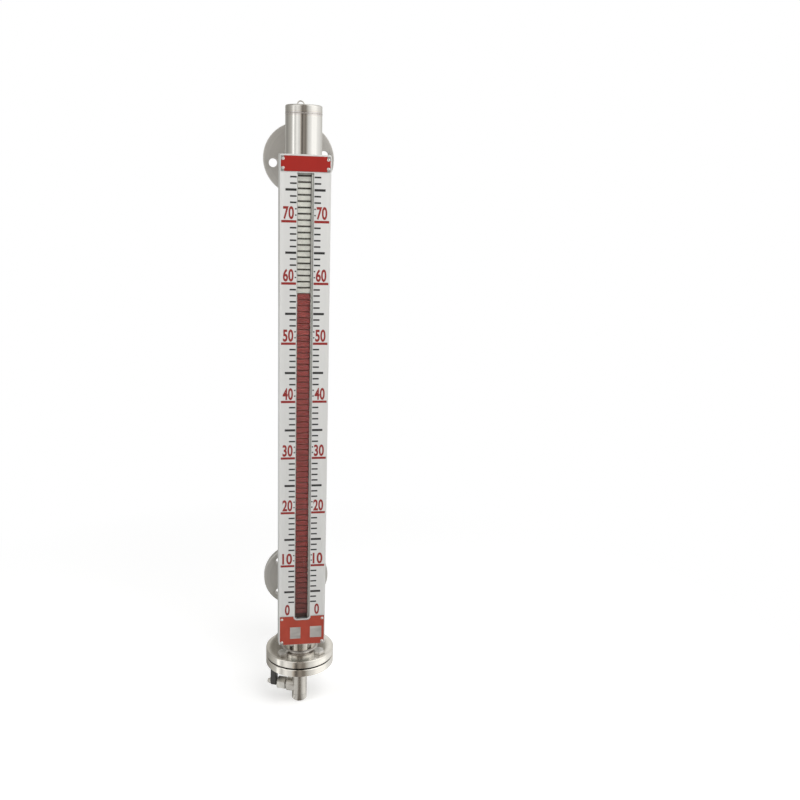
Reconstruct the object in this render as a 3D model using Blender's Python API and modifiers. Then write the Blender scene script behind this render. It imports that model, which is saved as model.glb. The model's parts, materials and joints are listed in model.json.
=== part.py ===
"""A magnetic level gauge: a float chamber with two flanged side nozzles, a flap
indicator with its scale plate, and a bolted end flange that carries a drain valve.

Heights are measured from the lower nozzle's axis. The chamber's axis is the Z axis
of the empty gauge_axis, the indicator faces -Y and the nozzles point to +Y. The
world origin is the centre of the lower process flange's sealing face.
"""
import math

import bmesh
import bpy
from mathutils import Matrix, Vector

# Chamber

CENTRE_DISTANCE = 0.800
NOZZLE_REACH = 0.135
CHAMBER_OD = 0.0603
CHAMBER_WALL = 0.0028
CHAMBER_ABOVE = 0.069
CHAMBER_BELOW = 0.0855
CAP_HEIGHT = 0.014
CAP_EDGE_RADIUS = 0.003
LOOP_WIDTH = 0.0108
LOOP_HEIGHT = 0.0072
LOOP_WIRE_RADIUS = 0.0011
LOOP_OFFSET = 0.005

# Flanges, gasket and bolts

FLANGE_REACH = 0.03235
FLANGE_THICKNESS = 0.014
FLANGE_CHAMFER = 0.001
WELD_LEG = 0.004
CHAMBER_SETBACK = 0.004
BOLT_COUNT = 4
BOLT_DIAMETER = 0.010
BOLT_LENGTH = 0.028
BOLT_HEAD_FLATS = 0.017
BOLT_HEAD_HEIGHT = 0.007
BOLT_HOLE_CLEARANCE = 0.0005
GASKET_TO_BOLTS = 0.003
GASKET_THICKNESS = 0.002

# Process nozzles

NOZZLE_OD = 0.0337
NOZZLE_WALL = 0.0026
NOZZLE_SETBACK = 0.005
PROCESS_HOLE_TO_RIM = 0.0165
PROCESS_HOLE_DIAMETER = 0.015
RAISED_FACE_TO_HOLES = 0.0045
RAISED_FACE_HEIGHT = 0.0015
UPPER_FLANGE_TURN = math.radians(-10)
LOWER_FLANGE_TURN = math.radians(45)

# Float and its buffer springs

FLOAT_CLEARANCE = 0.00435
FLOAT_LENGTH = 0.168
FLOAT_WALL = 0.0008
MAGNET_HEIGHT = 0.022
MAGNET_WALL = 0.006
MAGNET_CENTRE_SHARE = 0.56
SPRING_INSET = 0.005
SPRING_HEIGHT = 0.022
SPRING_WIRE_RADIUS = 0.001
SPRING_TURNS = 3.5

# Indicator housing and plates

SCALE_FACE = 0.054
PLATE_SIDE = 0.01085
PLATE_ABOVE = 0.005
PLATE_THICKNESS = 0.0015
PLATE_CORNER = 0.003
WINDOW_WIDTH = 0.027
WINDOW_BELOW_UPPER_NOZZLE = 0.0235
WINDOW_FOOT = -0.0035
WINDOW_CORNER = 0.006
GLASS_THICKNESS = 0.0019
GLASS_MARGIN = 0.003
HOUSING_WALL = 0.002
HOUSING_LIP = 0.008
HOUSING_FLARE = 0.0015
NAMEPLATE_THICKNESS = 0.0008
NAMEPLATE_INSET = 0.0015
TOP_NAMEPLATE_HEIGHT = 0.024
TOP_NAMEPLATE_DROP = 0.0025
BOTTOM_NAMEPLATE_RISE = 0.0055
BOTTOM_NAMEPLATE_HEIGHT = 0.055
BOTTOM_NAMEPLATE_TO_PLATE_FOOT = 0.001
NAMEPLATE_HOLE_DIAMETER = 0.0032
NAMEPLATE_HOLE_INSET = 0.005
NAMEPLATE_ARC_MARGIN = 0.0015

# Flaps and their rail

FLAP_PITCH = 0.010
FIRST_FLAP_HEIGHT = 0.027
FLAP_GAP = 0.0014
FLAP_THICKNESS = 0.0022
FLAP_WIDTH = 0.0216
FLAP_RECESS = 0.011
FLAP_END_GAP = 0.0004
FLAP_COLUMN_SHIFT = -0.001
RED_FLAP_COUNT = 56
LOOSE_FLAP_COUNT = 12
PIN_RADIUS = 0.0008
PIN_REACH = 0.0012
PIN_CLEARANCE = 0.0003
RAIL_WALL = 0.0015
RAIL_LIP = 0.005
RAIL_OVERLAP = 0.006

# Clamps that hold the housing to the chamber

CLAMP_COUNT = 3
CLAMP_BAND_WIDTH = 0.020
CLAMP_BAND_THICKNESS = 0.002
CLAMP_EAR_MARGIN = 0.005
CLAMP_END_DISTANCE = 0.110
CLAMP_SCREW_DIAMETER = 0.004
CLAMP_SCREW_HEAD_DIAMETER = 0.007
CLAMP_SCREW_HEAD_HEIGHT = 0.0026
CLAMP_SCREW_LENGTH = 0.0065
CLAMP_SCREW_CLEARANCE = 0.0003

# Drain valve: distances along the stem start at the chamber's axis

VALVE_DROP = 0.053
VALVE_TURN = math.radians(22)
VALVE_RADIUS = 0.014
VALVE_HUB_RADIUS = 0.024
VALVE_FLARE_HEIGHT = 0.036
VALVE_SPIGOT_RADIUS = 0.0077
VALVE_SPIGOT_LENGTH = 0.012
VALVE_BORE_RADIUS = 0.005
VALVE_BODY_BELOW = 0.0135
VALVE_END_LENGTH = 0.012
VALVE_PORT_RADIUS = 0.0075
VALVE_PORT_DEPTH = 0.008
VALVE_POCKET_RADIUS = 0.0103
VALVE_FLAT_DISTANCE = 0.0132
BALL_RADIUS = 0.0085
SEAT_INNER_RADIUS = 0.0053
SEAT_END = 0.0092
BOSS_RADIUS = 0.0128
BOSS_LENGTH = 0.023
GLAND_NECK_RADIUS = 0.0077
GLAND_NECK_START = 0.016
GLAND_HEAD_START = 0.026
GLAND_HEAD_END = 0.042
GLAND_HEAD_FLATS = 0.022
PACKING_LENGTH = 0.003
STEM_RADIUS = 0.0035
STEM_START = 0.0088
STEM_END = 0.063
TANG_THICKNESS = 0.0024
TANG_WIDTH = 0.0054
TANG_START = 0.0055
LEVER_START = 0.045
LEVER_THICKNESS = 0.011
LEVER_HUB_RADIUS = 0.0068
LEVER_LENGTH = 0.036
LEVER_TIP_RADIUS = 0.0055
LEVER_EDGE = 0.001
LEVER_NUT_FLATS = 0.010
LEVER_NUT_HEIGHT = 0.004

# Fits and cuts

SEAT_GAP = 0.0003
OVERRUN = 0.005
MERGE = 0.00001
CORNER_STEPS = 3
QUARTER_STEPS = 5
HALF_TURN_STEPS = 9
ROUND_STEPS = 36
SMALL_ROUND_STEPS = 24
FITTING_STEPS = 20
HOLE_SIDES = 12
SCREW_STEPS = 10
PIN_SIDES = 6
PIN_HOLE_SIDES = 8
STUB_SIDES = 4

# Places worked out from the sizes above

FLANGE_OD = CHAMBER_OD + 2 * FLANGE_REACH
BOLT_CIRCLE = (CHAMBER_OD + FLANGE_OD) / 2
GASKET_OD = BOLT_CIRCLE - BOLT_DIAMETER - 2 * GASKET_TO_BOLTS
PROCESS_BOLT_CIRCLE = FLANGE_OD - 2 * PROCESS_HOLE_TO_RIM
RAISED_FACE_DIAMETER = PROCESS_BOLT_CIRCLE - PROCESS_HOLE_DIAMETER - 2 * RAISED_FACE_TO_HOLES
PLATE_WIDTH = CHAMBER_OD + 2 * PLATE_SIDE
CHAMBER_RADIUS = CHAMBER_OD / 2
CHAMBER_BORE_RADIUS = CHAMBER_RADIUS - CHAMBER_WALL
FLOAT_DIAMETER = 2 * (CHAMBER_BORE_RADIUS - FLOAT_CLEARANCE)
SPRING_DIAMETER = FLOAT_DIAMETER - 2 * SPRING_INSET
CHAMBER_TOP = CENTRE_DISTANCE + CHAMBER_ABOVE
CAP_TOP = CHAMBER_TOP + CAP_HEIGHT
FLANGE_TOP = -CHAMBER_BELOW
FLANGE_FACE = FLANGE_TOP - FLANGE_THICKNESS
BLIND_TOP = FLANGE_FACE - GASKET_THICKNESS - 2 * SEAT_GAP
BLIND_BOTTOM = BLIND_TOP - FLANGE_THICKNESS
NOZZLE_RADIUS = NOZZLE_OD / 2
NOZZLE_BORE_RADIUS = NOZZLE_RADIUS - NOZZLE_WALL
HOUSING_BACK = CHAMBER_RADIUS + SEAT_GAP
HOUSING_FRONT = SCALE_FACE - PLATE_THICKNESS - SEAT_GAP
PLATE_TOP = CENTRE_DISTANCE + PLATE_ABOVE
BOTTOM_NAMEPLATE_TOP = WINDOW_FOOT + BOTTOM_NAMEPLATE_RISE
BOTTOM_NAMEPLATE_FOOT = BOTTOM_NAMEPLATE_TOP - BOTTOM_NAMEPLATE_HEIGHT
PLATE_FOOT = BOTTOM_NAMEPLATE_FOOT - BOTTOM_NAMEPLATE_TO_PLATE_FOOT
WINDOW_TOP = CENTRE_DISTANCE - WINDOW_BELOW_UPPER_NOZZLE
HOUSING_TOP = PLATE_TOP - HOUSING_WALL - SEAT_GAP
HOUSING_FOOT = PLATE_FOOT + HOUSING_WALL + SEAT_GAP
GLASS_FRONT = HOUSING_FRONT
GLASS_BACK = GLASS_FRONT - GLASS_THICKNESS
RAIL_FRONT = GLASS_BACK - SEAT_GAP
RAIL_BACK = HOUSING_BACK + HOUSING_WALL + SEAT_GAP
FLAP_AXIS = SCALE_FACE - FLAP_RECESS - FLAP_THICKNESS / 2
FLAP_HEIGHT = FLAP_PITCH - FLAP_GAP
RAIL_FOOT = WINDOW_FOOT - RAIL_OVERLAP
RAIL_TOP = WINDOW_TOP + RAIL_OVERLAP
FLAP_COUNT = 1 + math.floor((RAIL_TOP - FLAP_HEIGHT / 2 - FIRST_FLAP_HEIGHT) / FLAP_PITCH)
FOOT_FLAP_COUNT = math.floor((FIRST_FLAP_HEIGHT - FLAP_HEIGHT / 2 - WINDOW_FOOT) / FLAP_PITCH)
VALVE_HEIGHT = BLIND_BOTTOM - VALVE_DROP

COLLECTION_NAME = "magnetic_level_gauge"
CUTTER_COLLECTION_NAME = "cutters"


def clear_scene():
    for old in list(bpy.data.objects):
        bpy.data.objects.remove(old, do_unlink=True)


def new_collection(name):
    collection = bpy.data.collections.new(name)
    bpy.context.scene.collection.children.link(collection)
    return collection


def surface(name, colour, roughness, metallic):
    material = bpy.data.materials.new(name)
    material.use_nodes = True
    shader = material.node_tree.nodes["Principled BSDF"]
    shader.inputs["Base Color"].default_value = (*colour, 1)
    shader.inputs["Roughness"].default_value = roughness
    shader.inputs["Metallic"].default_value = metallic
    return material


clear_scene()
PARTS = new_collection(COLLECTION_NAME)
CUTTERS = new_collection(CUTTER_COLLECTION_NAME)
CUTTERS.hide_render = True

GAUGE_AXIS = bpy.data.objects.new("gauge_axis", None)
GAUGE_AXIS.location = (0, -NOZZLE_REACH, 0)
PARTS.objects.link(GAUGE_AXIS)


def new_object(name, data, material=None, place=None, collection=None, parent=None):
    """Adds an object under the gauge's axis, or under another parent."""
    thing = bpy.data.objects.new(name, data)
    (collection or PARTS).objects.link(thing)
    thing.parent = parent or GAUGE_AXIS
    if place is not None:
        thing.matrix_local = place
    if material is not None:
        data.materials.append(material)
    return thing


def at(x, y, z):
    return Matrix.Translation((x, y, z))


def facing_back(height):
    """A turned piece's Z axis laid along +Y, at a height on the chamber's axis."""
    return at(0, 0, height) @ Matrix.Rotation(-math.pi / 2, 4, "X")


def arc(centre_x, centre_y, radius, start, end, steps):
    """Points on an arc, both ends included; angles in degrees."""
    points = []
    for step in range(steps + 1):
        angle = math.radians(start + (end - start) * step / steps)
        points.append((centre_x + radius * math.cos(angle), centre_y + radius * math.sin(angle)))
    return points


def smooth(mesh, angle=math.radians(35)):
    mesh.shade_smooth()
    mesh.set_sharp_from_angle(angle=angle)


def turned(name, profile, material=None, place=None, steps=ROUND_STEPS, closed=True, **where):
    """Turns a profile of (radius, height) points about Z.

    The profile runs down its outer side, and is open where it meets the axis.
    """
    mesh = bpy.data.meshes.new(name)
    form = bmesh.new()
    corners = [form.verts.new((radius, 0, height)) for radius, height in profile]
    for first, second in zip(corners, corners[1:]):
        form.edges.new((first, second))
    if closed:
        form.edges.new((corners[-1], corners[0]))
    form.to_mesh(mesh)
    form.free()
    thing = new_object(name, mesh, material, place, **where)
    screw = thing.modifiers.new("turn", "SCREW")
    screw.axis = "Z"
    screw.steps = steps
    screw.render_steps = steps
    screw.use_merge_vertices = True
    screw.merge_threshold = MERGE
    screw.use_smooth_shade = True
    return thing


def prism(name, radius, start, end, sides, material=None, place=None, turn=0, **where):
    """An upright prism or cylinder between two heights."""
    mesh = bpy.data.meshes.new(name)
    form = bmesh.new()
    placing = at(0, 0, (start + end) / 2) @ Matrix.Rotation(turn, 4, "Z")
    bmesh.ops.create_cone(
        form, cap_ends=True, segments=sides, radius1=radius, radius2=radius,
        depth=end - start, matrix=placing,
    )
    form.to_mesh(mesh)
    form.free()
    return new_object(name, mesh, material, place, **where)


def block(name, low, high, material=None, place=None, **where):
    """A box between two corners."""
    mesh = bpy.data.meshes.new(name)
    form = bmesh.new()
    size = [top - bottom for bottom, top in zip(low, high)]
    middle = [(top + bottom) / 2 for bottom, top in zip(low, high)]
    bmesh.ops.create_cube(form, size=1, matrix=at(*middle) @ Matrix.Diagonal((*size, 1)))
    form.to_mesh(mesh)
    form.free()
    return new_object(name, mesh, material, place, **where)


def flat_piece(name, outlines, thickness, material=None, place=None, **where):
    """A plate cut to its outlines in XY, its thickness centred on Z = 0."""
    curve = bpy.data.curves.new(name, "CURVE")
    curve.dimensions = "2D"
    curve.fill_mode = "BOTH"
    curve.extrude = thickness / 2
    for outline in outlines:
        spline = curve.splines.new("POLY")
        spline.points.add(len(outline) - 1)
        for point, (x, y) in zip(spline.points, outline):
            point.co = (x, y, 0, 1)
        spline.use_cyclic_u = True
    return as_mesh(new_object(name, curve, material, place, **where))


def wire(name, points, radius, material=None, place=None, **where):
    """A round wire through its points, with filled ends."""
    curve = bpy.data.curves.new(name, "CURVE")
    curve.dimensions = "3D"
    curve.bevel_depth = radius
    curve.bevel_resolution = 2
    curve.use_fill_caps = True
    spline = curve.splines.new("POLY")
    spline.points.add(len(points) - 1)
    for point, place_of_point in zip(spline.points, points):
        point.co = (*place_of_point, 1)
    return as_mesh(new_object(name, curve, material, place, **where))


def evaluated_mesh(thing):
    """The object's mesh with its modifiers, welded where a curve leaves loose caps."""
    graph = bpy.context.evaluated_depsgraph_get()
    mesh = bpy.data.meshes.new_from_object(thing.evaluated_get(graph))
    form = bmesh.new()
    form.from_mesh(mesh)
    bmesh.ops.remove_doubles(form, verts=form.verts, dist=MERGE)
    form.to_mesh(mesh)
    form.free()
    return mesh


def as_mesh(thing):
    """Replaces a curve, or an object with modifiers, by a plain mesh object."""
    name = thing.name
    mesh = evaluated_mesh(thing)
    place = thing.matrix_local.copy()
    parent = thing.parent
    collection = thing.users_collection[0]
    bpy.data.objects.remove(thing)
    mesh.name = name
    return new_object(name, mesh, None, place, collection=collection, parent=parent)


def boolean(thing, cutter, operation):
    cut = thing.modifiers.new(operation.lower(), "BOOLEAN")
    cut.operation = operation
    cut.solver = "EXACT"
    cut.object = cutter
    cutter.hide_render = True
    cutter.display_type = "WIRE"


def cut(thing, cutter):
    boolean(thing, cutter, "DIFFERENCE")


def join(thing, addition):
    boolean(thing, addition, "UNION")


def cutter_set(name, radius, start, end, places, sides=HOLE_SIDES):
    """One object of equal cylinders, one for each place."""
    mesh = bpy.data.meshes.new(name)
    form = bmesh.new()
    for place in places:
        bmesh.ops.create_cone(
            form, cap_ends=True, segments=sides, radius1=radius, radius2=radius,
            depth=end - start, matrix=place @ at(0, 0, (start + end) / 2),
        )
    form.to_mesh(mesh)
    form.free()
    return mesh


def on_circle(diameter, count, turn):
    """Places spread round a circle about Z."""
    return [
        Matrix.Rotation(turn + 2 * math.pi * index / count, 4, "Z") @ at(diameter / 2, 0, 0)
        for index in range(count)
    ]


STEEL = surface("turned_steel", (0.62, 0.60, 0.57), 0.28, 1)
POLISHED = surface("polished_steel", (0.74, 0.72, 0.69), 0.16, 1)
PLATE_WHITE = surface("plate_white", (0.72, 0.71, 0.67), 0.45, 0)
PLATE_RED = surface("plate_red", (0.36, 0.045, 0.03), 0.45, 0)
HOUSING_GREY = surface("housing_grey", (0.62, 0.64, 0.62), 0.4, 0.6)
RAIL_GREY = surface("rail_grey", (0.22, 0.20, 0.19), 0.6, 0)
FLAP_RED = surface("flap_red", (0.20, 0.035, 0.035), 0.5, 0)
FLAP_WHITE = surface("flap_white", (0.62, 0.58, 0.52), 0.5, 0)
CLEAR = surface("window_clear", (0.9, 0.9, 0.9), 0.05, 0)
GASKET_BLACK = surface("gasket_black", (0.03, 0.03, 0.03), 0.8, 0)
SEAL_WHITE = surface("seal_white", (0.85, 0.85, 0.82), 0.4, 0)
MAGNET_GREY = surface("magnet_grey", (0.10, 0.10, 0.11), 0.5, 0.4)
LEVER_BLACK = surface("lever_black", (0.035, 0.032, 0.03), 0.5, 0)


def make_chamber():
    tube = turned(
        "chamber_tube",
        [
            (CHAMBER_RADIUS, CHAMBER_TOP),
            (CHAMBER_RADIUS, FLANGE_FACE + CHAMBER_SETBACK),
            (CHAMBER_BORE_RADIUS, FLANGE_FACE + CHAMBER_SETBACK),
            (CHAMBER_BORE_RADIUS, CHAMBER_TOP),
        ],
        POLISHED,
    )
    branch_holes = new_object(
        "branch_holes",
        cutter_set(
            "branch_holes", NOZZLE_BORE_RADIUS, CHAMBER_BORE_RADIUS / 2, CHAMBER_RADIUS + OVERRUN,
            [facing_back(0), facing_back(CENTRE_DISTANCE)], sides=SMALL_ROUND_STEPS,
        ),
        collection=CUTTERS,
    )
    cut(tube, branch_holes)

    bore_top = CAP_TOP - CHAMBER_WALL
    seam = CHAMBER_TOP + SEAT_GAP
    outer_edge = arc(
        CHAMBER_RADIUS - CAP_EDGE_RADIUS, CAP_TOP - CAP_EDGE_RADIUS, CAP_EDGE_RADIUS, 90, 0, CORNER_STEPS,
    )
    turned(
        "top_cap",
        [(0, CAP_TOP), *outer_edge, (CHAMBER_RADIUS, seam), (CHAMBER_BORE_RADIUS, seam),
         (CHAMBER_BORE_RADIUS, bore_top), (0, bore_top)],
        POLISHED, closed=False,
    )


def make_lifting_loop():
    half = LOOP_WIDTH / 2
    foot = CAP_TOP + SEAT_GAP
    crown = foot + LOOP_HEIGHT - half - LOOP_WIRE_RADIUS
    bend = [(x, 0, z) for x, z in arc(0, crown, half, 180, 0, HALF_TURN_STEPS)]
    wire(
        "lifting_loop", [(-half, 0, foot), *bend, (half, 0, foot)], LOOP_WIRE_RADIUS, POLISHED,
        at(-LOOP_OFFSET, 0, 0),
    )


def make_process_nozzle(prefix, height, turn):
    """A side nozzle with its slip-on flange; distances run along the nozzle."""
    pipe_end = NOZZLE_REACH - NOZZLE_SETBACK
    pipe = turned(
        prefix + "_nozzle",
        [
            (NOZZLE_RADIUS, pipe_end),
            (NOZZLE_RADIUS, CHAMBER_BORE_RADIUS / 2),
            (NOZZLE_BORE_RADIUS, CHAMBER_BORE_RADIUS / 2),
            (NOZZLE_BORE_RADIUS, pipe_end),
        ],
        STEEL, facing_back(height), steps=SMALL_ROUND_STEPS,
    )
    saddle = prism(
        prefix + "_saddle", CHAMBER_RADIUS + SEAT_GAP, height - NOZZLE_OD, height + NOZZLE_OD, ROUND_STEPS,
        collection=CUTTERS,
    )
    cut(pipe, saddle)

    bore = NOZZLE_RADIUS + SEAT_GAP
    plate_face = NOZZLE_REACH - RAISED_FACE_HEIGHT
    plate_back = plate_face - FLANGE_THICKNESS
    rim = FLANGE_OD / 2
    flange = turned(
        prefix + "_process_flange",
        [
            (RAISED_FACE_DIAMETER / 2, NOZZLE_REACH),
            (RAISED_FACE_DIAMETER / 2, plate_face),
            (rim - FLANGE_CHAMFER, plate_face),
            (rim, plate_face - FLANGE_CHAMFER),
            (rim, plate_back + FLANGE_CHAMFER),
            (rim - FLANGE_CHAMFER, plate_back),
            (bore + WELD_LEG, plate_back),
            (bore, plate_back - WELD_LEG),
            (bore, NOZZLE_REACH),
        ],
        STEEL, facing_back(height),
    )
    holes = new_object(
        prefix + "_flange_holes",
        cutter_set(
            prefix + "_flange_holes", PROCESS_HOLE_DIAMETER / 2, plate_back - OVERRUN,
            NOZZLE_REACH + OVERRUN, on_circle(PROCESS_BOLT_CIRCLE, BOLT_COUNT, turn),
        ),
        place=facing_back(height), collection=CUTTERS,
    )
    cut(flange, holes)


def make_end_flanges():
    """The chamber's flange, its gasket and the blind flange bolted up to it."""
    bore = CHAMBER_RADIUS + SEAT_GAP
    rim = FLANGE_OD / 2
    flange = turned(
        "chamber_flange",
        [
            (bore, FLANGE_TOP + WELD_LEG),
            (bore + WELD_LEG, FLANGE_TOP),
            (rim - FLANGE_CHAMFER, FLANGE_TOP),
            (rim, FLANGE_TOP - FLANGE_CHAMFER),
            (rim, FLANGE_FACE + FLANGE_CHAMFER),
            (rim - FLANGE_CHAMFER, FLANGE_FACE),
            (bore, FLANGE_FACE),
        ],
        STEEL,
    )
    turned(
        "flange_gasket",
        [
            (GASKET_OD / 2, FLANGE_FACE - SEAT_GAP),
            (GASKET_OD / 2, FLANGE_FACE - SEAT_GAP - GASKET_THICKNESS),
            (bore, FLANGE_FACE - SEAT_GAP - GASKET_THICKNESS),
            (bore, FLANGE_FACE - SEAT_GAP),
        ],
        GASKET_BLACK,
    )
    spigot_hole = VALVE_SPIGOT_RADIUS + SEAT_GAP
    blind = turned(
        "blind_flange",
        [
            (rim - FLANGE_CHAMFER, BLIND_TOP),
            (rim, BLIND_TOP - FLANGE_CHAMFER),
            (rim, BLIND_BOTTOM + FLANGE_CHAMFER),
            (rim - FLANGE_CHAMFER, BLIND_BOTTOM),
            (spigot_hole, BLIND_BOTTOM),
            (spigot_hole, BLIND_TOP),
        ],
        STEEL,
    )
    bolt_holes = new_object(
        "end_flange_holes",
        cutter_set(
            "end_flange_holes", BOLT_DIAMETER / 2 + BOLT_HOLE_CLEARANCE, BLIND_BOTTOM - OVERRUN,
            FLANGE_TOP + OVERRUN, on_circle(BOLT_CIRCLE, BOLT_COUNT, LOWER_FLANGE_TURN),
        ),
        collection=CUTTERS,
    )
    cut(flange, bolt_holes)
    cut(blind, bolt_holes)


def hex_head(name, flats, start, end, material, parent=None):
    """A hexagon with its outer rim turned down to a cone."""
    corner = flats / math.sqrt(3)
    width = corner - flats / 2
    fall = width / 2
    head = prism(name, corner, start, end, 6, material, parent=parent)
    envelope = turned(
        name + "_envelope",
        [
            (0, end + fall), (flats / 2 - width, end + fall), (corner + width, end - 2 * fall),
            (corner + width, start - OVERRUN), (0, start - OVERRUN),
        ],
        steps=FITTING_STEPS, closed=False, collection=CUTTERS, parent=parent,
    )
    boolean(head, envelope, "INTERSECT")
    return head


def make_flange_bolts():
    head_foot = FLANGE_TOP + SEAT_GAP
    first = hex_head("flange_bolt", BOLT_HEAD_FLATS, head_foot, head_foot + BOLT_HEAD_HEIGHT, STEEL)
    shank = prism(
        "flange_bolt_shank", BOLT_DIAMETER / 2, head_foot - BOLT_LENGTH, head_foot + BOLT_HEAD_HEIGHT / 2,
        HOLE_SIDES, collection=CUTTERS,
    )
    join(first, shank)
    mesh = evaluated_mesh(first)
    bpy.data.objects.remove(first)
    smooth(mesh)
    for index, place in enumerate(on_circle(BOLT_CIRCLE, BOLT_COUNT, LOWER_FLANGE_TURN), start=1):
        new_object(f"flange_bolt_{index}", mesh, None, place)


def make_float():
    """A hollow float in two welded shells, with its ring magnet inside."""
    radius = FLOAT_DIAMETER / 2
    inner = radius - FLOAT_WALL
    foot = float_foot()
    lower_centre = foot + radius
    upper_centre = foot + FLOAT_LENGTH - radius
    seam = upper_centre
    lower_outer = arc(0, lower_centre, radius, 0, -90, QUARTER_STEPS)
    lower_inner = arc(0, lower_centre, inner, -90, 0, QUARTER_STEPS)
    turned(
        "float_shell", [*lower_inner, (inner, seam), (radius, seam), *lower_outer], POLISHED,
        steps=SMALL_ROUND_STEPS, closed=False,
    )
    upper_outer = arc(0, upper_centre + SEAT_GAP, radius, 90, 0, QUARTER_STEPS)
    upper_inner = arc(0, upper_centre + SEAT_GAP, inner, 0, 90, QUARTER_STEPS)
    turned("float_dome", [*upper_outer, *upper_inner], POLISHED, steps=SMALL_ROUND_STEPS, closed=False)
    magnet_outer = inner - SEAT_GAP
    magnet_inner = magnet_outer - MAGNET_WALL
    middle = foot + FLOAT_LENGTH * MAGNET_CENTRE_SHARE
    turned(
        "float_magnet",
        [
            (magnet_outer, middle + MAGNET_HEIGHT / 2),
            (magnet_outer, middle - MAGNET_HEIGHT / 2),
            (magnet_inner, middle - MAGNET_HEIGHT / 2),
            (magnet_inner, middle + MAGNET_HEIGHT / 2),
        ],
        MAGNET_GREY, steps=SMALL_ROUND_STEPS,
    )


def spring_top():
    """Height of the wire's centre at the top of the lower spring."""
    return BLIND_TOP + SEAT_GAP + SPRING_HEIGHT - SPRING_WIRE_RADIUS


def float_foot():
    """The float rests with its dome in the lower spring's last turn."""
    reach = FLOAT_DIAMETER / 2 + SPRING_WIRE_RADIUS + SEAT_GAP
    coil_radius = SPRING_DIAMETER / 2
    return spring_top() + math.sqrt(reach ** 2 - coil_radius ** 2) - FLOAT_DIAMETER / 2


def make_springs():
    steps_per_turn = 10
    end_rise = 2 * SPRING_WIRE_RADIUS + SEAT_GAP
    climb = SPRING_HEIGHT - 2 * SPRING_WIRE_RADIUS
    middle_rise = (climb - 2 * end_rise) / (SPRING_TURNS - 2)
    points = []
    for step in range(round(SPRING_TURNS * steps_per_turn) + 1):
        turns = step / steps_per_turn
        first = min(turns, 1)
        last = max(turns - (SPRING_TURNS - 1), 0)
        middle = turns - first - last
        height = end_rise * (first + last) + middle_rise * middle
        angle = 2 * math.pi * turns
        points.append((
            SPRING_DIAMETER / 2 * math.cos(angle), SPRING_DIAMETER / 2 * math.sin(angle), height,
        ))
    low = BLIND_TOP + SEAT_GAP + SPRING_WIRE_RADIUS
    high = CAP_TOP - CHAMBER_WALL - SEAT_GAP - SPRING_WIRE_RADIUS - climb
    wire("lower_buffer_spring", points, SPRING_WIRE_RADIUS, STEEL, at(0, 0, low))
    wire("upper_buffer_spring", points, SPRING_WIRE_RADIUS, STEEL, at(0, 0, high))


def housing_outline(inset=0):
    """The housing's outer corners in XY, a little wider at the back than at the front."""
    front = PLATE_WIDTH / 2 - inset
    back = front + HOUSING_FLARE
    return [
        (-back, -HOUSING_BACK - inset), (-front, -HOUSING_FRONT + inset),
        (front, -HOUSING_FRONT + inset), (back, -HOUSING_BACK - inset),
    ]


def clamp_heights():
    low = PLATE_FOOT + CLAMP_END_DISTANCE
    high = PLATE_TOP - CLAMP_END_DISTANCE
    return [low + (high - low) * index / (CLAMP_COUNT - 1) for index in range(CLAMP_COUNT)]


def clamp_screw_x():
    """Midway between the band's leg and the plate's edge."""
    leg = CHAMBER_RADIUS + SEAT_GAP + CLAMP_BAND_THICKNESS
    return (leg + PLATE_WIDTH / 2) / 2


def clamp_screw_places():
    """Each clamp screw points to -Y, with its head on the back of the ear."""
    seat = HOUSING_BACK - SEAT_GAP - CLAMP_BAND_THICKNESS - SEAT_GAP
    towards_front = Matrix.Rotation(math.pi / 2, 4, "X")
    return [
        at(side * clamp_screw_x(), -seat, height) @ towards_front
        for height in clamp_heights() for side in (-1, 1)
    ]


def make_housing():
    """A folded channel that is open at the front between two lips, and its end caps."""
    outer = housing_outline()
    inner = housing_outline(HOUSING_WALL)
    lip = PLATE_WIDTH / 2 - HOUSING_WALL - HOUSING_LIP
    outline = [
        outer[0], outer[1], (-lip, outer[1][1]), (-lip, inner[1][1]), inner[1], inner[0],
        inner[3], inner[2], (lip, inner[2][1]), (lip, outer[2][1]), outer[2], outer[3],
    ]
    middle = (HOUSING_TOP + HOUSING_FOOT) / 2
    housing = flat_piece(
        "indicator_housing", [outline], HOUSING_TOP - HOUSING_FOOT, HOUSING_GREY, at(0, 0, middle),
    )
    holes = new_object(
        "clamp_screw_holes",
        cutter_set(
            "clamp_screw_holes", CLAMP_SCREW_DIAMETER / 2 + CLAMP_SCREW_CLEARANCE, -OVERRUN, OVERRUN,
            clamp_screw_places(),
        ),
        collection=CUTTERS,
    )
    cut(housing, holes)
    for name, height in (
        ("housing_top_cap", PLATE_TOP - HOUSING_WALL / 2),
        ("housing_bottom_cap", PLATE_FOOT + HOUSING_WALL / 2),
    ):
        flat_piece(name, [housing_outline()], HOUSING_WALL, HOUSING_GREY, at(0, 0, height))
    return holes


def rounded_outline(left, right, foot, top, foot_radius, top_radius):
    """A rectangle's outline with its own corner radii at the foot and the top."""
    points = []
    corners = (
        (right - foot_radius, foot + foot_radius, foot_radius, -90),
        (right - top_radius, top - top_radius, top_radius, 0),
        (left + top_radius, top - top_radius, top_radius, 90),
        (left + foot_radius, foot + foot_radius, foot_radius, 180),
    )
    for x, y, radius, start in corners:
        if radius:
            points += arc(x, y, radius, start, start + 90, CORNER_STEPS)
        else:
            points.append((x, y))
    return points


def facing_front(distance):
    """A plate drawn in XY stood up to face -Y, its middle at a distance from the axis."""
    return at(0, -distance, 0) @ Matrix.Rotation(math.pi / 2, 4, "X")


def nameplate_spans():
    """Foot and top of the two nameplates."""
    top = PLATE_TOP - TOP_NAMEPLATE_DROP
    return (
        (top - TOP_NAMEPLATE_HEIGHT, top),
        (BOTTOM_NAMEPLATE_FOOT, BOTTOM_NAMEPLATE_TOP),
    )


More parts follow.
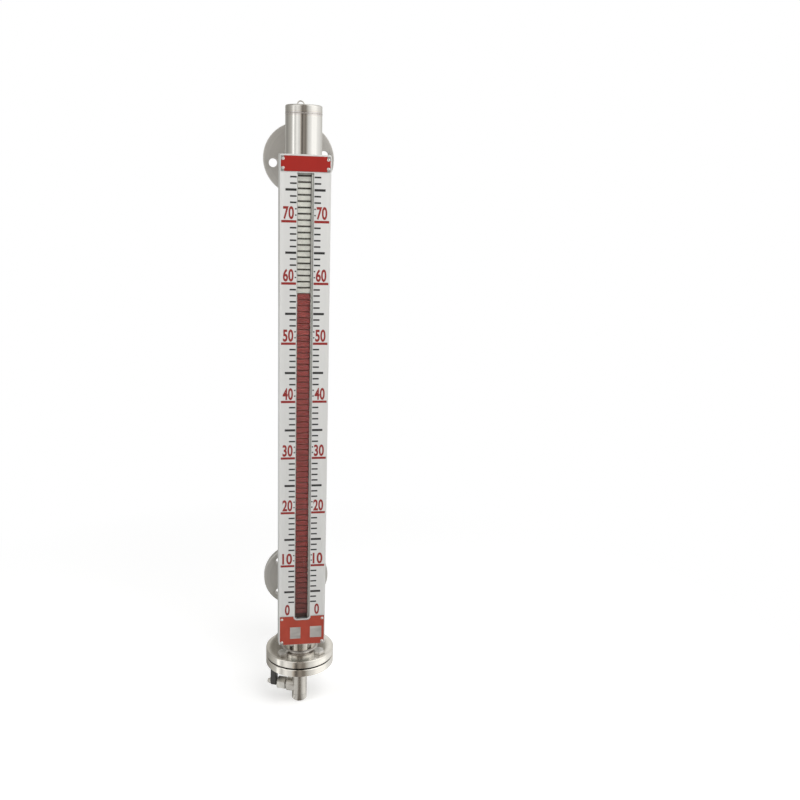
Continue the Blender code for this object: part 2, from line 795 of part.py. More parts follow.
def nameplate_holes(foot, top):
    """Outlines of a nameplate's four corner holes."""
    side = PLATE_WIDTH / 2 - NAMEPLATE_HOLE_INSET
    return [
        arc(x, y, NAMEPLATE_HOLE_DIAMETER / 2, 0, 315, 7)
        for x in (-side, side)
        for y in (foot + NAMEPLATE_HOLE_INSET, top - NAMEPLATE_HOLE_INSET)
    ]


def make_plates():
    """Scale plate with its window slot, the two nameplates and the window glass."""
    half = PLATE_WIDTH / 2
    window = rounded_outline(
        -WINDOW_WIDTH / 2, WINDOW_WIDTH / 2, WINDOW_FOOT, WINDOW_TOP, WINDOW_CORNER, 0,
    )
    holes = [hole for span in nameplate_spans() for hole in nameplate_holes(*span)]
    flat_piece(
        "scale_plate",
        [rounded_outline(-half, half, PLATE_FOOT, PLATE_TOP, PLATE_CORNER, PLATE_CORNER), window, *holes],
        PLATE_THICKNESS, PLATE_WHITE, facing_front(SCALE_FACE - PLATE_THICKNESS / 2),
    )

    side = half - NAMEPLATE_INSET
    front = SCALE_FACE + SEAT_GAP + NAMEPLATE_THICKNESS / 2
    top_span, bottom_span = nameplate_spans()
    flat_piece(
        "top_nameplate",
        [rounded_outline(-side, side, *top_span, 0, 0), *nameplate_holes(*top_span)],
        NAMEPLATE_THICKNESS, PLATE_RED, facing_front(front),
    )
    notch = WINDOW_WIDTH / 2 + NAMEPLATE_ARC_MARGIN
    foot, top = bottom_span
    notch_foot = WINDOW_FOOT - NAMEPLATE_ARC_MARGIN
    radius = WINDOW_CORNER
    outline = [
        (-side, foot), (side, foot), (side, top), (notch, top), (notch, notch_foot + radius),
        *arc(notch - radius, notch_foot + radius, radius, 0, -90, CORNER_STEPS)[1:],
        *arc(radius - notch, notch_foot + radius, radius, -90, -180, CORNER_STEPS),
        (-notch, top), (-side, top),
    ]
    flat_piece(
        "bottom_nameplate", [outline, *nameplate_holes(*bottom_span)],
        NAMEPLATE_THICKNESS, PLATE_RED, facing_front(front),
    )

    glass_side = WINDOW_WIDTH / 2 + GLASS_MARGIN
    block(
        "window_glass",
        (-glass_side, -GLASS_FRONT, WINDOW_FOOT - GLASS_MARGIN),
        (glass_side, -GLASS_BACK, WINDOW_TOP + GLASS_MARGIN),
        CLEAR,
    )


def flap_mesh(pin_sides):
    """One flap: a plate with a pin at each end."""
    half = FLAP_WIDTH / 2
    plate = block(
        "flap_plate",
        (-half, -FLAP_THICKNESS / 2, -FLAP_HEIGHT / 2), (half, FLAP_THICKNESS / 2, FLAP_HEIGHT / 2),
        collection=CUTTERS,
    )
    along_x = Matrix.Rotation(math.pi / 2, 4, "Y")
    reach = half + FLAP_END_GAP + PIN_REACH
    pin = prism("flap_pin", PIN_RADIUS, -reach, reach, pin_sides, place=along_x, collection=CUTTERS)
    join(plate, pin)
    mesh = evaluated_mesh(plate)
    bpy.data.objects.remove(plate)
    bpy.data.objects.remove(pin)
    return mesh


def make_flaps():
    """The rail with its fixed flaps, and the loose flaps round the colour boundary."""
    fixed_flap = flap_mesh(STUB_SIDES)
    loose_flap = flap_mesh(PIN_SIDES)
    first_loose = RED_FLAP_COUNT - LOOSE_FLAP_COUNT // 2
    loose = range(first_loose, first_loose + LOOSE_FLAP_COUNT)

    def place_of(index):
        return at(FLAP_COLUMN_SHIFT, -FLAP_AXIS, FIRST_FLAP_HEIGHT + FLAP_PITCH * index)

    wall_inside = FLAP_WIDTH / 2 + FLAP_END_GAP
    wall_outside = wall_inside + RAIL_WALL
    lip = wall_inside + RAIL_LIP
    web_front = -RAIL_BACK - RAIL_WALL
    lip_back = -RAIL_FRONT + RAIL_WALL
    outline = [
        (-wall_outside, -RAIL_BACK), (-wall_outside, lip_back), (-lip, lip_back), (-lip, -RAIL_FRONT),
        (-wall_inside, -RAIL_FRONT), (-wall_inside, web_front), (wall_inside, web_front),
        (wall_inside, -RAIL_FRONT), (lip, -RAIL_FRONT), (lip, lip_back), (wall_outside, lip_back),
        (wall_outside, -RAIL_BACK),
    ]
    rail = flat_piece(
        "flap_rail", [outline], RAIL_TOP - RAIL_FOOT, RAIL_GREY,
        at(FLAP_COLUMN_SHIFT, 0, (RAIL_TOP + RAIL_FOOT) / 2),
    )

    fixed = bmesh.new()
    for index in range(-FOOT_FLAP_COUNT, FLAP_COUNT):
        if index not in loose:
            start = len(fixed.verts)
            first_face = len(fixed.faces)
            fixed.from_mesh(fixed_flap)
            fixed.verts.ensure_lookup_table()
            fixed.faces.ensure_lookup_table()
            bmesh.ops.transform(fixed, matrix=place_of(index), verts=fixed.verts[start:])
            for face in fixed.faces[first_face:]:
                face.material_index = 1 if index < RED_FLAP_COUNT else 2
    fixed_mesh = bpy.data.meshes.new("fixed_flaps")
    fixed.to_mesh(fixed_mesh)
    fixed.free()
    for material in (FLAP_RED, FLAP_WHITE):
        rail.data.materials.append(material)
    for material in rail.data.materials:
        fixed_mesh.materials.append(material)
    fixed_flaps = new_object("fixed_flaps", fixed_mesh, collection=CUTTERS)
    join(rail, fixed_flaps)

    pin_holes = new_object(
        "pin_holes",
        cutter_set(
            "pin_holes", PIN_RADIUS + PIN_CLEARANCE, -wall_outside - OVERRUN, wall_outside + OVERRUN,
            [place_of(index) @ Matrix.Rotation(math.pi / 2, 4, "Y") for index in loose],
            sides=PIN_HOLE_SIDES,
        ),
        collection=CUTTERS,
    )
    cut(rail, pin_holes)

    for index in loose:
        flap = new_object(f"flap_{index + 1}", loose_flap.copy(), None, place_of(index))
        flap.data.materials.clear()
        flap.data.materials.append(FLAP_RED if index < RED_FLAP_COUNT else FLAP_WHITE)


def make_clamps(screw_holes):
    """Bands round the back of the chamber, screwed to the housing's back."""
    inner = CHAMBER_RADIUS + SEAT_GAP
    ear_front = HOUSING_BACK - SEAT_GAP
    ear_end = clamp_screw_x() + CLAMP_EAR_MARGIN
    middle = inner + CLAMP_BAND_THICKNESS / 2
    ear_line = ear_front - CLAMP_BAND_THICKNESS / 2
    path = [
        (ear_end, -ear_line), (middle, -ear_line), *arc(0, 0, middle, 0, 180, HALF_TURN_STEPS + PIN_SIDES),
        (-middle, -ear_line), (-ear_end, -ear_line),
    ]
    for number, height in enumerate(clamp_heights(), start=1):
        mesh = bpy.data.meshes.new("clamp_band")
        form = bmesh.new()
        low = [form.verts.new((x, y, -CLAMP_BAND_WIDTH / 2)) for x, y in path]
        line = [form.edges.new(pair) for pair in zip(low, low[1:])]
        swept = bmesh.ops.extrude_edge_only(form, edges=line)["geom"]
        risen = [item for item in swept if isinstance(item, bmesh.types.BMVert)]
        bmesh.ops.translate(form, vec=(0, 0, CLAMP_BAND_WIDTH), verts=risen)
        bmesh.ops.recalc_face_normals(form, faces=form.faces)
        form.to_mesh(mesh)
        form.free()
        band = new_object(f"clamp_band_{number}", mesh, STEEL, at(0, 0, height))
        shell = band.modifiers.new("band", "SOLIDIFY")
        shell.thickness = CLAMP_BAND_THICKNESS
        shell.offset = 0
        shell.use_even_offset = True
        cut(band, screw_holes)

    shank = CLAMP_SCREW_DIAMETER / 2
    head = CLAMP_SCREW_HEAD_DIAMETER / 2
    dome = arc(0, 0, head, 90, 0, CORNER_STEPS)
    rise_share = CLAMP_SCREW_HEAD_HEIGHT / head
    crown = [(x, -y * rise_share) for x, y in dome]
    profile = [
        (shank, 0), (shank, CLAMP_SCREW_LENGTH), (0, CLAMP_SCREW_LENGTH),
    ]
    for number, place in enumerate(clamp_screw_places(), start=1):
        turned(
            f"clamp_screw_{number}", [*reversed(profile), *reversed(crown)], STEEL, place,
            steps=SCREW_STEPS, closed=False,
        )


def valve_place():
    """The stem's frame: Z along the stem away from the chamber's axis, X upwards."""
    along = Vector((-math.cos(VALVE_TURN), math.sin(VALVE_TURN), 0))
    upward = Vector((0, 0, 1))
    across = along.cross(upward)
    turning = Matrix((upward, across, along)).transposed().to_4x4()
    return at(0, 0, VALVE_HEIGHT) @ turning


def make_valve_body(stem_axis):
    top = BLIND_BOTTOM - SEAT_GAP
    flare_foot = top - VALVE_FLARE_HEIGHT
    flare_width = VALVE_HUB_RADIUS - VALVE_RADIUS
    flare = [
        (VALVE_HUB_RADIUS - flare_width * math.sin(angle), top - VALVE_FLARE_HEIGHT * (1 - math.cos(angle)))
        for angle in (math.pi / 2 * step / CORNER_STEPS for step in range(CORNER_STEPS + 1))
    ]
    foot = VALVE_HEIGHT - VALVE_BODY_BELOW
    body = turned(
        "drain_valve_body",
        [
            (0, top + VALVE_SPIGOT_LENGTH), (VALVE_SPIGOT_RADIUS, top + VALVE_SPIGOT_LENGTH),
            (VALVE_SPIGOT_RADIUS, top), *flare, (VALVE_RADIUS, foot), (0, foot),
        ],
        STEEL, steps=SMALL_ROUND_STEPS, closed=False,
    )
    boss = prism(
        "valve_boss", BOSS_RADIUS, 0, BOSS_LENGTH, SMALL_ROUND_STEPS, parent=stem_axis, collection=CUTTERS,
    )
    passage = turned(
        "valve_passage",
        [
            (0, top + VALVE_SPIGOT_LENGTH + OVERRUN),
            (VALVE_BORE_RADIUS, top + VALVE_SPIGOT_LENGTH + OVERRUN),
            (VALVE_BORE_RADIUS, VALVE_HEIGHT + SEAT_END + SEAT_GAP),
            (VALVE_POCKET_RADIUS, VALVE_HEIGHT + SEAT_END + SEAT_GAP),
            (VALVE_POCKET_RADIUS, foot - OVERRUN), (0, foot - OVERRUN),
        ],
        steps=FITTING_STEPS, closed=False, collection=CUTTERS,
    )
    recess = GLAND_NECK_START - PACKING_LENGTH - 2 * SEAT_GAP
    neck = GLAND_NECK_RADIUS + SEAT_GAP
    stem_bore = STEM_RADIUS + SEAT_GAP
    stem_passage = turned(
        "stem_passage",
        [
            (0, BOSS_LENGTH + OVERRUN), (neck, BOSS_LENGTH + OVERRUN), (neck, recess),
            (stem_bore, recess), (stem_bore, 0), (0, 0),
        ],
        steps=FITTING_STEPS, closed=False, parent=stem_axis, collection=CUTTERS,
    )
    join(body, boss)
    cut(body, passage)
    cut(body, stem_passage)


def make_valve_end():
    """The screwed end that holds the seats in and forms the outlet."""
    top = VALVE_HEIGHT - SEAT_END - SEAT_GAP
    shoulder = VALVE_HEIGHT - VALVE_BODY_BELOW - SEAT_GAP
    foot = shoulder - VALVE_END_LENGTH
    insert = VALVE_POCKET_RADIUS - SEAT_GAP
    end = turned(
        "drain_valve_end",
        [
            (insert, top), (insert, shoulder), (VALVE_RADIUS, shoulder),
            (VALVE_RADIUS, foot + FLANGE_CHAMFER), (VALVE_RADIUS - FLANGE_CHAMFER, foot),
            (VALVE_PORT_RADIUS, foot), (VALVE_PORT_RADIUS, foot + VALVE_PORT_DEPTH),
            (VALVE_BORE_RADIUS, foot + VALVE_PORT_DEPTH), (VALVE_BORE_RADIUS, top),
        ],
        STEEL, steps=SMALL_ROUND_STEPS,
    )
    spanner_turn = Matrix.Rotation(math.radians(45), 4, "Z")
    for number, side in enumerate((-1, 1), start=1):
        near = side * VALVE_FLAT_DISTANCE
        far = side * (VALVE_RADIUS + OVERRUN)
        flat = block(
            f"spanner_flat_{number}",
            (min(near, far), -VALVE_RADIUS, foot - OVERRUN),
            (max(near, far), VALVE_RADIUS, shoulder - FLANGE_CHAMFER),
            place=spanner_turn, collection=CUTTERS,
        )
        cut(end, flat)


def make_ball_and_seats(stem_axis):
    mesh = bpy.data.meshes.new("drain_valve_ball")
    form = bmesh.new()
    bmesh.ops.create_uvsphere(form, u_segments=FITTING_STEPS, v_segments=HOLE_SIDES, radius=BALL_RADIUS)
    form.to_mesh(mesh)
    form.free()
    mesh.shade_smooth()
    ball = new_object("drain_valve_ball", mesh, POLISHED, parent=stem_axis)
    bore = prism(
        "ball_bore", VALVE_BORE_RADIUS, -BALL_RADIUS - OVERRUN, BALL_RADIUS + OVERRUN, FITTING_STEPS,
        place=Matrix.Rotation(math.pi / 2, 4, "Y"), parent=stem_axis, collection=CUTTERS,
    )
    cut(ball, bore)
    slot_half = TANG_THICKNESS / 2 + SEAT_GAP
    slot = block(
        "ball_slot",
        (-BALL_RADIUS, -slot_half, TANG_START - SEAT_GAP), (BALL_RADIUS, slot_half, BALL_RADIUS + OVERRUN),
        parent=stem_axis, collection=CUTTERS,
    )
    cut(ball, slot)

    cup = BALL_RADIUS + SEAT_GAP
    outer = VALVE_POCKET_RADIUS - SEAT_GAP
    inner_angle = math.degrees(math.acos(SEAT_INNER_RADIUS / cup))
    outer_angle = math.degrees(math.acos(VALVE_RADIUS / 2 / cup))
    cup_arc = arc(0, 0, cup, outer_angle, inner_angle, CORNER_STEPS)
    lip = cup_arc[0][1]
    profile = [(outer, SEAT_END), (outer, lip), *cup_arc, (SEAT_INNER_RADIUS, SEAT_END)]
    turned("drain_valve_seat_upper", profile, SEAL_WHITE, at(0, 0, VALVE_HEIGHT), steps=FITTING_STEPS)
    flipped = at(0, 0, VALVE_HEIGHT) @ Matrix.Rotation(math.pi, 4, "X")
    turned("drain_valve_seat_lower", profile, SEAL_WHITE, flipped, steps=FITTING_STEPS)


def make_stem_and_gland(stem_axis):
    stem = turned(
        "drain_valve_stem",
        [(0, STEM_END), (STEM_RADIUS, STEM_END), (STEM_RADIUS, STEM_START), (0, STEM_START)],
        STEEL, steps=FITTING_STEPS, closed=False, parent=stem_axis,
    )
    tang = block(
        "stem_tang",
        (-TANG_WIDTH / 2, -TANG_THICKNESS / 2, TANG_START), (TANG_WIDTH / 2, TANG_THICKNESS / 2, STEM_START + OVERRUN),
        parent=stem_axis, collection=CUTTERS,
    )
    join(stem, tang)

    bore = STEM_RADIUS + SEAT_GAP
    packing_end = GLAND_NECK_START - SEAT_GAP
    turned(
        "drain_valve_packing",
        [
            (GLAND_NECK_RADIUS, packing_end), (GLAND_NECK_RADIUS, packing_end - PACKING_LENGTH),
            (bore, packing_end - PACKING_LENGTH), (bore, packing_end),
        ],
        SEAL_WHITE, steps=FITTING_STEPS, parent=stem_axis,
    )
    gland = hex_head(
        "drain_valve_gland_nut", GLAND_HEAD_FLATS, GLAND_HEAD_START, GLAND_HEAD_END, STEEL, stem_axis,
    )
    neck = prism(
        "gland_neck", GLAND_NECK_RADIUS, GLAND_NECK_START, (GLAND_HEAD_START + GLAND_HEAD_END) / 2, FITTING_STEPS,
        parent=stem_axis, collection=CUTTERS,
    )
    gland_bore = prism(
        "gland_bore", bore, GLAND_NECK_START - OVERRUN, GLAND_HEAD_END + OVERRUN, FITTING_STEPS,
        parent=stem_axis, collection=CUTTERS,
    )
    join(gland, neck)
    cut(gland, gland_bore)


def make_lever(stem_axis):
    """The lever stands up along the flow when the valve is open, and is held by a nut."""
    tip = LEVER_LENGTH - LEVER_TIP_RADIUS
    outline = [
        *arc(0, 0, LEVER_HUB_RADIUS, 90, 270, HALF_TURN_STEPS),
        *arc(tip, 0, LEVER_TIP_RADIUS, -90, 90, HALF_TURN_STEPS),
    ]
    lever = flat_piece(
        "drain_valve_lever", [outline], LEVER_THICKNESS, LEVER_BLACK,
        at(0, 0, LEVER_START + LEVER_THICKNESS / 2), parent=stem_axis,
    )
    bore = prism(
        "lever_bore", STEM_RADIUS + SEAT_GAP, LEVER_START - OVERRUN, LEVER_START + LEVER_THICKNESS + OVERRUN, HOLE_SIDES,
        parent=stem_axis, collection=CUTTERS,
    )
    cut(lever, bore)
    rounding = lever.modifiers.new("rounding", "BEVEL")
    rounding.width = LEVER_EDGE
    rounding.segments = 1
    rounding.limit_method = "ANGLE"
    rounding.angle_limit = math.radians(60)
    nut_start = LEVER_START + LEVER_THICKNESS + SEAT_GAP
    nut = hex_head(
        "drain_valve_lever_nut", LEVER_NUT_FLATS, nut_start, nut_start + LEVER_NUT_HEIGHT, STEEL, stem_axis,
    )
    nut_bore = prism(
        "lever_nut_bore", STEM_RADIUS + SEAT_GAP, nut_start - OVERRUN, nut_start + LEVER_NUT_HEIGHT + OVERRUN, HOLE_SIDES,
        parent=stem_axis, collection=CUTTERS,
    )
    cut(nut, nut_bore)


def make_drain_valve():
    stem_axis = bpy.data.objects.new("stem_axis", None)
    PARTS.objects.link(stem_axis)
    stem_axis.parent = GAUGE_AXIS
    stem_axis.matrix_local = valve_place()
    make_valve_body(stem_axis)
    make_valve_end()
    make_ball_and_seats(stem_axis)
    make_stem_and_gland(stem_axis)
    make_lever(stem_axis)


make_chamber()
make_lifting_loop()
make_process_nozzle("upper", CENTRE_DISTANCE, UPPER_FLANGE_TURN)
make_process_nozzle("lower", 0, LOWER_FLANGE_TURN)
make_end_flanges()
make_flange_bolts()
make_float()
make_springs()
clamp_holes = make_housing()
make_plates()
make_flaps()
make_clamps(clamp_holes)
make_drain_valve()
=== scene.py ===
import json
import math

import bmesh
import bpy
from mathutils import Matrix, Vector


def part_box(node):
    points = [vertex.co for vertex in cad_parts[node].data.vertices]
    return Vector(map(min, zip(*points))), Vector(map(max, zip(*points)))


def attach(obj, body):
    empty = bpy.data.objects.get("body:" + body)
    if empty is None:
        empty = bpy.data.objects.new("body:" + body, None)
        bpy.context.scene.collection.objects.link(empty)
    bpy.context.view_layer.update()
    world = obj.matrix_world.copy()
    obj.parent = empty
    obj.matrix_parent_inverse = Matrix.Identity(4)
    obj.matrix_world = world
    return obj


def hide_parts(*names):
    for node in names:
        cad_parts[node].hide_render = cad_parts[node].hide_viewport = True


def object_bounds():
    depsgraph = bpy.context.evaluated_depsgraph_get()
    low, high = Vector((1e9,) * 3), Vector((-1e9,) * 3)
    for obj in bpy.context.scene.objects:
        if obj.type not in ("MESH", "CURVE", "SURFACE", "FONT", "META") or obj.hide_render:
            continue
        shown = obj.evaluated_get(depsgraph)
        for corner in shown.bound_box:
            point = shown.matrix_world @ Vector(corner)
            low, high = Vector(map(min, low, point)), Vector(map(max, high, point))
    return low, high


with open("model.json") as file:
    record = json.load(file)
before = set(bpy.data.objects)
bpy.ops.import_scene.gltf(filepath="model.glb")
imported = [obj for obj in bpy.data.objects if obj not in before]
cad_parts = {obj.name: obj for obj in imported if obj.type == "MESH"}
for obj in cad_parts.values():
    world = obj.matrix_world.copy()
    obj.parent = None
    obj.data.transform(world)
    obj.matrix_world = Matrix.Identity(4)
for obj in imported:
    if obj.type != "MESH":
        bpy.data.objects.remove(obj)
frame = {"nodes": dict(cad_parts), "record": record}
cad_low, cad_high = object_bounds()

GAUGE = "gauge"
HANDLE = "drain_valve_handle"
ORIGIN = (0, 0, 0)
UP = (0, 0, 1)
BACK = (0, 1, 0)

# Sizes and places in metres, in the same frame as the CAD

AXIS_Y = -0.135
UPPER_NOZZLE_Z = 0.8
CHAMBER_RADIUS = 0.03015
CHAMBER_BORE = 0.02735
CAP_EDGE = 0.003
NOZZLE_RADIUS = 0.01685
NOZZLE_BORE = 0.01425
NOZZLE_END_Y = -0.005
FLANGE_RADIUS = 0.0625
FLANGE_CHAMFER = 0.001
WELD_LEG = 0.004
FIT = 0.0003
PROCESS_HOLE_RADIUS = 0.0075
BOLT_HOLE_RADIUS = 0.0055
BOLT_RADIUS = 0.005
BOLT_HEAD_FLATS = 0.017
BOLT_HEAD_HEIGHT = 0.007
SCALE_FRONT = -0.189
NAMEPLATE_FRONT = -0.1901
PRINT_THICKNESS = 0.00008
WINDOW_HALF = 0.0135
NAMEPLATE_HOLE_INSET = 0.005
WINDOW_FOOT = -0.0035
WINDOW_CORNER = 0.006
NOTCH_MARGIN = 0.0015
FLAP_PITCH = 0.01
FIRST_FLAP_Z = 0.027
LOWEST_ROW_EDGE = FIRST_FLAP_Z - 10.5 * FLAP_PITCH
LOWEST_FLAP_EDGE = FIRST_FLAP_Z - 2.5 * FLAP_PITCH
FLAP_AXIS_X = -0.001
FLAP_AXIS_Y = -0.1769
RED_TOP_Z = 0.582
VALVE_Z = -0.1691
STEM_CENTRE = (0, AXIS_Y, VALVE_Z)
VALVE_TURN = math.radians(22)
STEM_ALONG = (-math.cos(VALVE_TURN), math.sin(VALVE_TURN), 0)
OVERRUN = 0.005
ON_AXIS = 1e-7
SAME_POINT = 1e-6

# Steps of round pieces, and shares

ROUND = 112
SMALL_ROUND = 48
UPRIGHT = 0.999
RINGS_IN_BAND = 14.0
STREAKS_PER_LINE = (0.12, 0.12, 0.3)
SPECKS_PER_PATCH = 30.0
DARKER = 0.78
BRIGHTER = 1.22


# Meshes


def at(x, y, z):
    return Matrix.Translation((x, y, z))


def facing_back(x, z):
    """Local Z along +Y, from the chamber's axis."""
    return at(x, AXIS_Y, z) @ Matrix.Rotation(-math.pi / 2, 4, "X")


def arc(x, y, radius, start, end, steps):
    angles = (math.radians(start + (end - start) * step / steps) for step in range(steps + 1))
    return [(x + radius * math.cos(angle), y + radius * math.sin(angle)) for angle in angles]


def link(name, mesh):
    piece = bpy.data.objects.new(name, mesh)
    bpy.context.scene.collection.objects.link(piece)
    return piece


def mesh_of(name, form):
    mesh = bpy.data.meshes.new(name)
    bmesh.ops.recalc_face_normals(form, faces=form.faces)
    form.to_mesh(mesh)
    form.free()
    return mesh


def drawn_mesh(name, curve):
    """The mesh of a curve or text, which is then removed."""
    drawn = link(name, curve)
    mesh = bpy.data.meshes.new_from_object(drawn.evaluated_get(bpy.context.evaluated_depsgraph_get()))
    bpy.data.objects.remove(drawn)
    bpy.data.curves.remove(curve)
    return mesh


def ring_of(form, radius, level, sides):
    angles = (2 * math.pi * side / sides for side in range(sides))
    return [form.verts.new((radius * math.cos(a), radius * math.sin(a), level)) for a in angles]


def skin(form, rings, closed):
    """Faces between neighbouring rings of corners, where a ring may be one point."""
    for one, other in zip(rings, rings[1:] + rings[:1] if closed else rings[1:]):
        sides = max(len(one), len(other))
        for side in range(sides if sides > 1 else 0):
            corners = [one[side % len(one)], one[(side + 1) % len(one)]]
            corners += [other[(side + 1) % len(other)], other[side % len(other)]]
            form.faces.new(list(dict.fromkeys(corners)))


def spun_mesh(name, outline, steps=ROUND, closed=True, place=Matrix.Identity(4)):
    """An outline of (radius, distance) pairs turned round local Z."""
    form = bmesh.new()
    skin(form, [
        [form.verts.new((0, 0, distance))] if radius < ON_AXIS else ring_of(form, radius, distance, steps)
        for radius, distance in outline
    ], closed)
    bmesh.ops.transform(form, matrix=place, verts=form.verts)
    return mesh_of(name, form)


def prism_mesh(name, radius, low, high, sides, place=Matrix.Identity(4)):
    form = bmesh.new()
    rings = [ring_of(form, radius, level, sides) for level in (low, high)]
    for ring in rings:
        form.faces.new(ring)
    skin(form, rings, False)
    bmesh.ops.transform(form, matrix=place, verts=form.verts)
    return mesh_of(name, form)


def box_mesh(name, boxes):
    """Separate blocks, each from its lowest to its highest corner."""
    form = bmesh.new()
    for low, high in boxes:
        size = [b - a for a, b in zip(low, high)]
        middle = [(a + b) / 2 for a, b in zip(low, high)]
        scale = Matrix.Diagonal((*size, 1))
        bmesh.ops.create_cube(form, size=1, matrix=Matrix.Translation(middle) @ scale)
    return mesh_of(name, form)


def sheet_mesh(name, outlines, thickness, edge, place):
    """Flat outlines cut from sheet, the first one outside and the others holes."""
    curve = bpy.data.curves.new(name, "CURVE")
    curve.dimensions = "2D"
    curve.fill_mode = "BOTH"
    curve.extrude = thickness / 2 - edge
    curve.bevel_depth = edge
    curve.bevel_resolution = 1
    curve.offset = -edge
    for outline in outlines:
        line = curve.splines.new("POLY")
        line.points.add(len(outline) - 1)
        for point, (x, y) in zip(line.points, outline):
            point.co = (x, y, 0, 1)
        line.use_cyclic_u = True
    mesh = drawn_mesh(name, curve)
    mesh.transform(place)
    form = bmesh.new()
    form.from_mesh(mesh)
    bmesh.ops.remove_doubles(form, verts=form.verts, dist=SAME_POINT)
    bpy.data.meshes.remove(mesh)
    return mesh_of(name, form)


def tube_mesh(name, points, radii, sides=10, closed=True):
    """A round section carried along points, with its own radius at each."""
    form = bmesh.new()
    rings = []
    for index, point in enumerate(points):
        before = points[index - 1] if closed or index else point
        after = points[(index + 1) % len(points)] if closed or index < len(points) - 1 else point
        along = (after - before).normalized()
        side = along.orthogonal() if abs(along.z) > UPRIGHT else along.cross(Vector(UP))
        side.normalize()
        up = side.cross(along)
        turn = (2 * math.pi * step / sides for step in range(sides))
        rings.append([
            form.verts.new(point + (side * math.cos(a) + up * math.sin(a)) * radii[index]) for a in turn
        ])
    skin(form, rings, closed)
    if not closed:
        form.faces.new(rings[0])
        form.faces.new(rings[-1])
    return mesh_of(name, form)


def settle(piece):
    """Makes the modifiers' result the piece's own mesh."""
    result = piece.evaluated_get(bpy.context.evaluated_depsgraph_get())
    mesh = bpy.data.meshes.new_from_object(result)
    mesh.validate()
    piece.modifiers.clear()
    old = piece.data
    piece.data = mesh
    bpy.data.meshes.remove(old)


def shape(piece, operation, mesh):
    """Cuts a mesh out of a piece, joins it on, or keeps what they share."""
    tool = link("tool", mesh)
    step = piece.modifiers.new(operation.lower(), "BOOLEAN")
    step.operation = operation
    step.solver = "EXACT"
    step.object = tool
    settle(piece)
    bpy.data.objects.remove(tool)
    bpy.data.meshes.remove(mesh)


def drill(piece, radius, low, high, sides, place=Matrix.Identity(4)):
    shape(piece, "DIFFERENCE", prism_mesh("bore", radius, low, high, sides, place))


def round_edges(piece, width, segments=2, angle=38):
    rounding = piece.modifiers.new("edge", "BEVEL")
    rounding.width = width
    rounding.segments = segments
    rounding.limit_method = "ANGLE"
    rounding.angle_limit = math.radians(angle)
    rounding.use_clamp_overlap = True
    settle(piece)


def dress(piece, material, body=GAUGE, replaces=(), sharp=35):
    """Smooth shading up to an angle, material and the body that it rides on."""
    if sharp:
        piece.data.shade_smooth()
        piece.data.set_sharp_from_angle(angle=math.radians(sharp))
    else:
        piece.data.shade_flat()
    piece.data.materials.clear()
    piece.data.materials.append(material)
    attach(piece, body)
    if replaces:
        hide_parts(*replaces)


# Nodes for the finishes

OUTPUT_KINDS = {"VALUE": "NodeSocketFloat", "VECTOR": "NodeSocketVector", "RGBA": "NodeSocketColor"}


def put(tree, kind, inputs=None, **settings):
    """A node with its settings, its inputs set to values or fed from other sockets."""
    node = tree.nodes.new(kind)
    for name, value in settings.items():
        setattr(node, name, value)
    for socket, value in (inputs or {}).items():
        if isinstance(value, bpy.types.NodeSocket):
            tree.links.new(value, node.inputs[socket])
        else:
            node.inputs[socket].default_value = value
    return node


def sums(tree, operation, one, other=0.0, third=0.0, clamp=False):
    node = put(tree, "ShaderNodeMath", {0: one, 1: other, 2: third}, operation=operation, use_clamp=clamp)
    return node.outputs[0]


def apart(tree, one, other):
    return sums(tree, "ABSOLUTE", sums(tree, "SUBTRACT", one, other))


def vector_sums(tree, operation, one, other=(0, 0, 0), output=0):
    node = put(tree, "ShaderNodeVectorMath", {0: one, 1: other}, operation=operation)
    return node.outputs[output]


def round_axis(tree, place, point, direction):
    """How far a place is from an axis, and how far along it."""
    offset = vector_sums(tree, "SUBTRACT", place, point)
    radius = vector_sums(tree, "LENGTH", vector_sums(tree, "CROSS_PRODUCT", offset, direction), output=1)
    return radius, vector_sums(tree, "DOT_PRODUCT", offset, direction, output=1)


def spread(tree, value, low, high, to_low=0.0, to_high=1.0):
    return put(tree, "ShaderNodeMapRange", {
        "Value": value, "From Min": low, "From Max": high, "To Min": to_low, "To Max": to_high,
    }, clamp=True).outputs["Result"]


def between(tree, share, low, high):
    """A value that goes from low to high as a share goes from 0 to 1."""
    return spread(tree, share, 0.0, 1.0, low, high)


def noise(tree, inputs, **settings):
    return put(tree, "ShaderNodeTexNoise", inputs, **settings).outputs["Fac"]


def blend_colour(tree, share, one, other, mode="MIX"):
    """Each colour is a red, green and blue share or another node's socket."""
    one, other = ((*colour, 1) if isinstance(colour, tuple) else colour for colour in (one, other))
    node = put(tree, "ShaderNodeMix", {0: share, 6: one, 7: other}, data_type="RGBA", blend_type=mode)
    return node.outputs[2]


def ramp(tree, value, stops):
    node = put(tree, "ShaderNodeValToRGB", {"Fac": value})
    elements = node.color_ramp.elements
    elements[0].position, elements[0].color = stops[0][0], (*stops[0][1], 1)
    elements[1].position, elements[1].color = stops[-1][0], (*stops[-1][1], 1)
    for position, colour in stops[1:-1]:
        elements.new(position).color = (*colour, 1)
    return node.outputs["Color"]


def new_group(name, inputs):
    """A shader node group whose inputs have these names and defaults."""
    tree = bpy.data.node_groups.new(name, "ShaderNodeTree")
    for label, default in inputs.items():
        kind = "NodeSocketVector" if isinstance(default, tuple) else "NodeSocketFloat"
        tree.interface.new_socket(name=label, in_out="INPUT", socket_type=kind).default_value = default
    return tree, tree.nodes.new("NodeGroupInput").outputs


def end_group(tree, results):
    """Gives a group an output for each named result."""
    for label, socket in results.items():
        tree.interface.new_socket(name=label, in_out="OUTPUT", socket_type=OUTPUT_KINDS[socket.type])
    put(tree, "NodeGroupOutput", results)
    return tree


